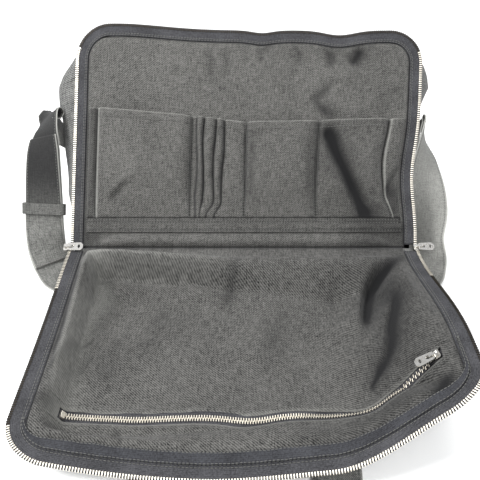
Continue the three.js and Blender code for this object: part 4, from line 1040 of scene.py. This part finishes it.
def pen_lean(s, down):
    """Share across the pen pocket, moved with its tucks: they wave, and lean to the left near the foot."""
    wave = 0.018 * np.sin(down / 15 + 9 * s) * smooth(down, 6, 24)
    return s + wave + 0.13 * (1 - smooth(down, 2, 22)) ** 1.5 * smooth(s, 0.1, 0.3)


def pen_tubes(s, down):
    """Tucked pen tubes: an arch between each pair of sewn lines, the power 0.45 of half a sine wave."""
    leaning = pen_lean(s, down)
    rise = np.zeros_like(s)
    for start, end, high in PEN_TUCKS:
        share = np.clip((leaning - start) / (end - start), 0, 1)
        rise = np.maximum(rise, high * np.sin(np.pi * share) ** 0.45)
    return rise


def pen_shadow(s, down):
    """Painted shade in the tucks: a narrow bell across each sewn line."""
    leaning = pen_lean(s, down)
    return sum(0.8 * bell(leaning, tuck[0], 0.022) for tuck in PEN_TUCKS)


def pocket_surface(row, s, t):
    """Places and height of a pocket at shares s across and t up: full in the middle, sewn down at its sides
    and foot, its hem doubled. The fold between the right pocket and its pleat flares out at the foot."""
    name, start, end, bulge, power = row[:5]
    u = start + s * (end - start)
    hem = np.interp(u, HEM_U, HEM_V)
    v = POCKET_FOOT + t * (hem - POCKET_FOOT)
    flare = 8 * (1 - smooth(v, 34, 64)) - 3 * bell(v, 108, 28)
    u = u + flare * {"pocket_right": s, "pocket_right_pleat": 1 - s}.get(name, 0)
    full = pen_tubes(s, v - POCKET_FOOT) if power == TUBES else 1 - np.abs(2 * s - 1) ** power
    rise = bulge * full * smooth(t, -0.03, 0.5) ** 0.8
    folds = creases(u, v, POCKET_CREASES.get(name, [])) + 0.3 * ripple(u, v, 50)
    hemmed = 0.5 * smooth(v, hem - 9.5, hem - 8.6)
    return u, v, np.maximum(rise + folds * np.minimum(full, smooth(t, 0, 0.1)), 0) + hemmed * full


sewn = []
for row in POCKETS:
    name, start, end, bulge, power, columns = row
    wide = end - start
    t, s = np.meshgrid(np.linspace(0, 1, 66), np.linspace(0, 1, columns), indexing="ij")
    u, v, rise = pocket_surface(row, s, t)
    fold = FOLDED_EDGE["at"] / wide
    # Painted highlights along the hem and the folded edge; painted shade in the creases, in the tucks, along
    # the sewn sides and along the foot.
    wear = 0.16 * bell(np.interp(u, HEM_U, HEM_V), v, 0.9)
    wear += 0.34 * bell(s, fold, fold / 2.5) * (name in FOLDED_EDGE["pockets"])
    shade_paint = 0.05 * np.maximum(-creases(u, v, POCKET_CREASES.get(name, [])), 0)
    shade_paint += creases(u, v, POCKET_DARK.get(name, []))
    shade_paint += pen_shadow(s, v - POCKET_FOOT) * (power == TUBES)
    shade_paint += 0.8 * bell(np.minimum(s, 1 - s) * wide, 0, 1.3) * (power != PLEATED)
    shade_paint += 0.7 * bell(v, POCKET_FOOT, 1.4)
    mesh = grid_mesh(back_at(u, v, SEATED + rise + POCKET_THICK), (u, v), OUT, wear=wear, unfaded=shade_paint)
    pocket = add_piece(f"{name}_cloth", mesh, lining_twill, [name], POCKET_THICK)
    s = np.linspace(0.01, 0.99, 240)
    t = np.linspace(0.0, 1.0, 240)
    edge = np.full_like(t, SIDE_ROW / wide)
    for across, up in ((s, np.full_like(s, HEM_ROW)), (edge, t), (1 - edge, t)):
        u, v, rise = pocket_surface(row, across, up)
        sewn.append(surface_line(back_at, u, v, SEATED + rise + POCKET_THICK + STITCH_LIFT))
add_piece("pocket_stitches", stitch_mesh(sewn), grey_thread)

# Band along the foot of the pockets: a folded strip of the lining twill, which covers their raw edges and
# is sewn down to the panel with three rows.
BAND = {"start": 20.0, "end": 36.0, "half": 181.0, "puff": 0.5}
BAND_ROWS = [22.4, 31.2, 34.4]


def band_rise(u, v):
    """Height of the band: pulled down along each row of stitches, soft between, uneven at its right end."""
    sunk = sum(bell(v, row, 1.2) for row in BAND_ROWS)
    slack = 0.8 * bell(v, 26, 2.6) * smooth(u, 60, 110) * (1 + np.sin(u / 9))
    return SEATED + POCKET_THICK + BAND["puff"] - BAND["puff"] * np.minimum(sunk, 1) + slack


rows = np.linspace(BAND["start"], BAND["end"], 33)
v, u = np.meshgrid(rows, np.linspace(-BAND["half"], BAND["half"], 182), indexing="ij")
# Painted shade, darker towards both ends and along the rows of stitches.
shade_paint = 0.12 + 0.42 * smooth(u, 95, 150) + 0.1 * smooth(-u, 90, 160)
shade_paint += 0.4 * sum(bell(v, row, 0.8) for row in BAND_ROWS)
mesh = grid_mesh(back_at(u, v, band_rise(u, v)), (u, v), OUT, unfaded=shade_paint)
band = add_piece("pocket_band_cloth", mesh, lining_twill, ["pocket_band"], POCKET_THICK)
u = np.linspace(-BAND["half"] + 1, BAND["half"] - 1, 800)
sewn = []
for row in BAND_ROWS:
    v = np.full_like(u, row)
    sewn.append(surface_line(back_at, u, v, band_rise(u, v) + STITCH_LIFT))
add_piece("band_stitches", stitch_mesh(sewn), grey_thread)

# Shoulder strap: doubled twill, stitched along both edges, sewn to the left side wall, folded down to the
# floor, passed under the hinge and up to the right side wall.
STRAP = {"wide": 44.0, "thick": 2.2, "stitch_inset": 3.0, "stitch_lift": 0.05}
OUTWARD = tuple(OUT)


def floor_y(y):
    """Place on the floor, measured from the hinge."""
    return HINGE["y"] + y


def on_back(u, v, w):
    """One point on the back half."""
    return tuple(back_at(np.array(float(u)), np.array(float(v)), np.array(float(w))))


STRAP_STATIONS = [
    # middle of the strap, way across it
    (on_back(-218, 122, -30), OUTWARD),
    (on_back(-223, 145, -30), OUTWARD),
    (on_back(-234, 161, -25), (0.25, -0.75, 0.3)),
    (on_back(-236, 143, -13), (0.74, -0.5, 0.4)),
    (on_back(-236, 114, -9), (0.94, -0.25, 0.2)),
    ((-236, floor_y(50), 68), (1, 0, 0)),
    ((-237, floor_y(35), 42), (0.98, 0.15, -0.1)),
    ((-236, floor_y(24), 18), (0.88, 0.42, -0.1)),
    ((-227, floor_y(9), 3.7), (0.66, 0.74, 0)),
    ((-208, floor_y(-11), 1.7), (0.34, 0.92, 0)),
    ((-180, floor_y(-8), 1.5), (0, 1, 0)),
    ((-95, floor_y(-4), 1.5), (0, 1, 0)),
    ((0, floor_y(-4), 1.5), (0, 1, 0)),
    ((95, floor_y(-4), 1.5), (0, 1, 0)),
    ((160, floor_y(-8), 1.5), (0, 1, 0)),
    ((187, floor_y(-11), 1.6), (-0.08, 1, 0)),
    ((209, floor_y(-11), 2.2), (-0.26, 0.96, 0)),
    ((220.5, floor_y(10), 8), (-0.66, 0.74, 0)),
    ((222, floor_y(34), 28), (-0.62, 0.66, -0.3)),
    ((223, floor_y(52), 54), (-0.88, 0.36, -0.2)),
    (on_back(221, 82, -22), (-0.97, -0.12, 0.1)),
    (on_back(218.5, 110, -22), (-0.75, -0.5, 0.4)),
    (on_back(214, 132, -25), (-0.4, -0.7, 0.56)),
    (on_back(211, 154, -29), (-0.1, -0.76, 0.62)),
    (on_back(206, 152, -30), OUTWARD),
    (on_back(203.8, 138, -30), OUTWARD),
    (on_back(202.3, 116, -30), OUTWARD),
]


def strap_frames(stations, t):
    """Middle, way across and way up of a flat strap at shares t of its stations."""
    middles = [row[0] for row in stations]
    along = unit(smooth_route(middles, t + 1e-4) - smooth_route(middles, t - 1e-4))
    across = smooth_route([row[1] for row in stations], t)
    across = unit(across - along * (across * along).sum(axis=1, keepdims=True))
    return smooth_route(middles, t), across, unit(np.cross(across, along))


def rounded(wave, power):
    """A wave squared up by a power below 1, its sign kept."""
    return np.sign(wave) * np.abs(wave) ** power


def strap_mesh(frames, wide, thick, unfaded=0.0, wear=0.0):
    """Strap swept along its frames: a flat section with rounded edges, closed at both ends. The cloth is
    measured along the strap and across it. Its edges are rubbed pale; painted shade and painted light
    are given for each step along it."""
    at, across, up = frames
    turn = np.linspace(0, 2 * np.pi, 25)
    edge = rounded(np.cos(turn), 0.28)
    ones = np.ones(len(at))
    side = 0.5 * np.outer(wide * ones, edge)
    high = 0.5 * np.outer(thick * ones, rounded(np.sin(turn), 0.5))
    points = at[:, None] + side[..., None] * across[:, None] + high[..., None] * up[:, None]
    cloth = (side, np.broadcast_to(length_along(at)[:, None], side.shape))
    pale = 0.55 * smooth(np.abs(edge), 0.93, 1.0) + np.reshape(wear * ones, (-1, 1))
    mesh = grid_mesh(points, cloth, wear=pale, unfaded=np.outer(unfaded * ones, np.ones(len(turn))))
    return closed_mesh([mesh], 0.01, ends=True)


def strap_edges(frames, wide, thick):
    """Lines of stitches along both edges of a strap, on both of its faces, kept clear of the floor."""
    at, across, up = frames
    out = np.reshape((wide / 2 - STRAP["stitch_inset"]) * np.ones(len(at)), (-1, 1))
    lift = np.reshape((thick / 2 + STRAP["stitch_lift"]) * np.ones(len(at)), (-1, 1))
    lines = []
    for side in (-1, 1):
        for face in (-1, 1):
            line = at + side * out * across + face * lift * up
            line[:, 2] = np.maximum(line[:, 2], THREAD["long"] / 2 + 0.1)
            lines.append((line, face * up))
    return lines


def add_strap(name, stitches, node_name, frames, wide, thick, unfaded=0.0, wear=0.0):
    """A strap and its edge stitches, as two pieces."""
    mesh = strap_mesh(frames, wide, thick, unfaded, wear)
    add_piece(name, mesh, strap_twill, [node_name])
    add_piece(stitches, stitch_mesh(strap_edges(frames, wide, thick)), grey_thread)


strap_twill = washed_twill("washed_strap_twill", "#353534", "#8a8a86", "#c4c4be", 1.3, 40)
share = np.linspace(0, 1, 301)
# Painted shade on the loop at the upper left and on the upper right leg; painted light along the right leg.
shaded = 0.93 * smooth(share, 0.02, 0.07) * (1 - smooth(share, 0.165, 0.24))
shaded += 0.4 * smooth(share, 0.75, 0.84)
add_strap(
    "shoulder_strap_cloth", "strap_stitches", "shoulder_strap", strap_frames(STRAP_STATIONS, share),
    STRAP["wide"], STRAP["thick"], shaded, 0.2 * smooth(share, 0.6, 0.68),
)

# Loose end of the strap: the same strap doubled back on its outer face, stitched in the same way, and the
# loop of doubled twill, sewn into a ring, that keeps it there.
# The tail is painted dark like the strap above it, and the keeper is painted an even shade.
TAIL = {"thick": 2.0, "wide": 43.0, "gap": 0.8, "start": 8 / 60, "end": 18 / 60}
KEEPER = {"at": 12 / 60, "tall": 13.0, "wall": 1.4, "room": 1.4, "unfaded": 0.42}
share = np.linspace(TAIL["start"], TAIL["end"], 60)
at, across, up = strap_frames(STRAP_STATIONS, share)
behind = (STRAP["thick"] + TAIL["thick"]) / 2 + TAIL["gap"]
add_strap(
    "strap_tail_cloth", "tail_stitches", "strap_tail", (at - up * behind, across, up),
    TAIL["wide"], TAIL["thick"], 0.93 * (1 - smooth(share, 0.165, 0.24)),
)
at, across, up = (rows[0] for rows in strap_frames(STRAP_STATIONS, np.array([KEEPER["at"]])))
margin = KEEPER["room"] + KEEPER["wall"]
high = STRAP["thick"] / 2 + margin
low = -STRAP["thick"] / 2 - TAIL["gap"] - TAIL["thick"] - margin
turn = np.linspace(0, 2 * np.pi, 73)
loop_x = (STRAP["wide"] / 2 + margin) * rounded(np.cos(turn), 0.2)
loop_z = (high + low) / 2 + (high - low) / 2 * rounded(np.sin(turn), 0.35)
tall = np.linspace(-0.5, 0.5, 14) * KEEPER["tall"]
points = (at + loop_x[:, None, None] * across + loop_z[:, None, None] * up
          + tall[None, :, None] * np.cross(across, up))
cloth = np.meshgrid(length_along(np.stack([loop_x, loop_z], -1)), tall, indexing="ij")
mesh = grid_mesh(points, cloth, unfaded=np.full(points.shape[:2], KEEPER["unfaded"]))
add_piece("strap_keeper_loop", closed_mesh([mesh], 0.01), strap_twill, ["strap_keeper"],
          KEEPER["wall"])

# Carry handles: a strip of doubled twill sewn to each outer panel, folded narrower and thicker at the
# grip. The front one lies on the floor, the back one hangs behind the leaning half.
HANDLE = {"wide": 43.0, "thick": 2.6, "grip_wide": 26.0, "grip_thick": 6.0, "lie": 0.2,
          "root_left": -227.3, "root_right": -211.9}
FRONT_HANDLE = [
    # x, y from the hinge, turn in degrees, grip
    (78, None, 0, 0),
    (78, -240, 0, 0),
    (75, -262, 18, 0),
    (62, -288, 42, 0.4),
    (36, -306, 68, 1),
    (0, -312, 90, 1),
]
BACK_HANDLE = [
    # x, v, w, turn in degrees, grip
    (78, 203, -63.9, 0, 0),
    (78, 218, -63.4, 0, 0),
    (77, 231, -69, 0, 0),
    (75, 222, -82, 8, 0),
    (68, 199, -98, 25, 0.2),
    (48, 176, -115, 55, 0.8),
    (0, 164, -124, 90, 1),
]


def gathered(grip, flat, full):
    """Width or thickness of a handle: flat at its ends, full at the grip."""
    return HANDLE[flat] + grip * (HANDLE[full] - HANDLE[flat])


def front_half_handle(side):
    """Stations of one leg of the front handle: middle, way across, how far it is gathered to the grip."""
    root = HANDLE["root_left"] if side < 0 else HANDLE["root_right"]
    rows = []
    for x, y, turn, grip in FRONT_HANDLE:
        thick = gathered(grip, "thick", "grip_thick")
        place = (side * x, floor_y(root if y is None else y), HANDLE["lie"] + thick / 2)
        rows.append((place, (-side * np.cos(np.radians(turn)), np.sin(np.radians(turn)), 0), grip))
    return rows


def back_half_handle(side):
    """Stations of one leg of the back handle, in the same order."""
    rows = []
    for x, v, w, turn, grip in BACK_HANDLE:
        across = (-side * np.cos(np.radians(turn)), 0, np.sin(np.radians(turn)))
        rows.append((on_back(side * x, v, w), across, grip))
    return rows


for name, leg in (("front_handle", front_half_handle), ("back_handle", back_half_handle)):
    stations = [*leg(-1), *leg(1)[-2::-1]]
    t = np.linspace(0, 1, 141)
    grip = np.interp(t * (len(stations) - 1), np.arange(len(stations)), [row[2] for row in stations])
    add_strap(
        f"{name}_cloth", f"{name}_stitches", name, strap_frames(stations, t),
        gathered(grip, "wide", "grip_wide"), gathered(grip, "thick", "grip_thick"),
    )
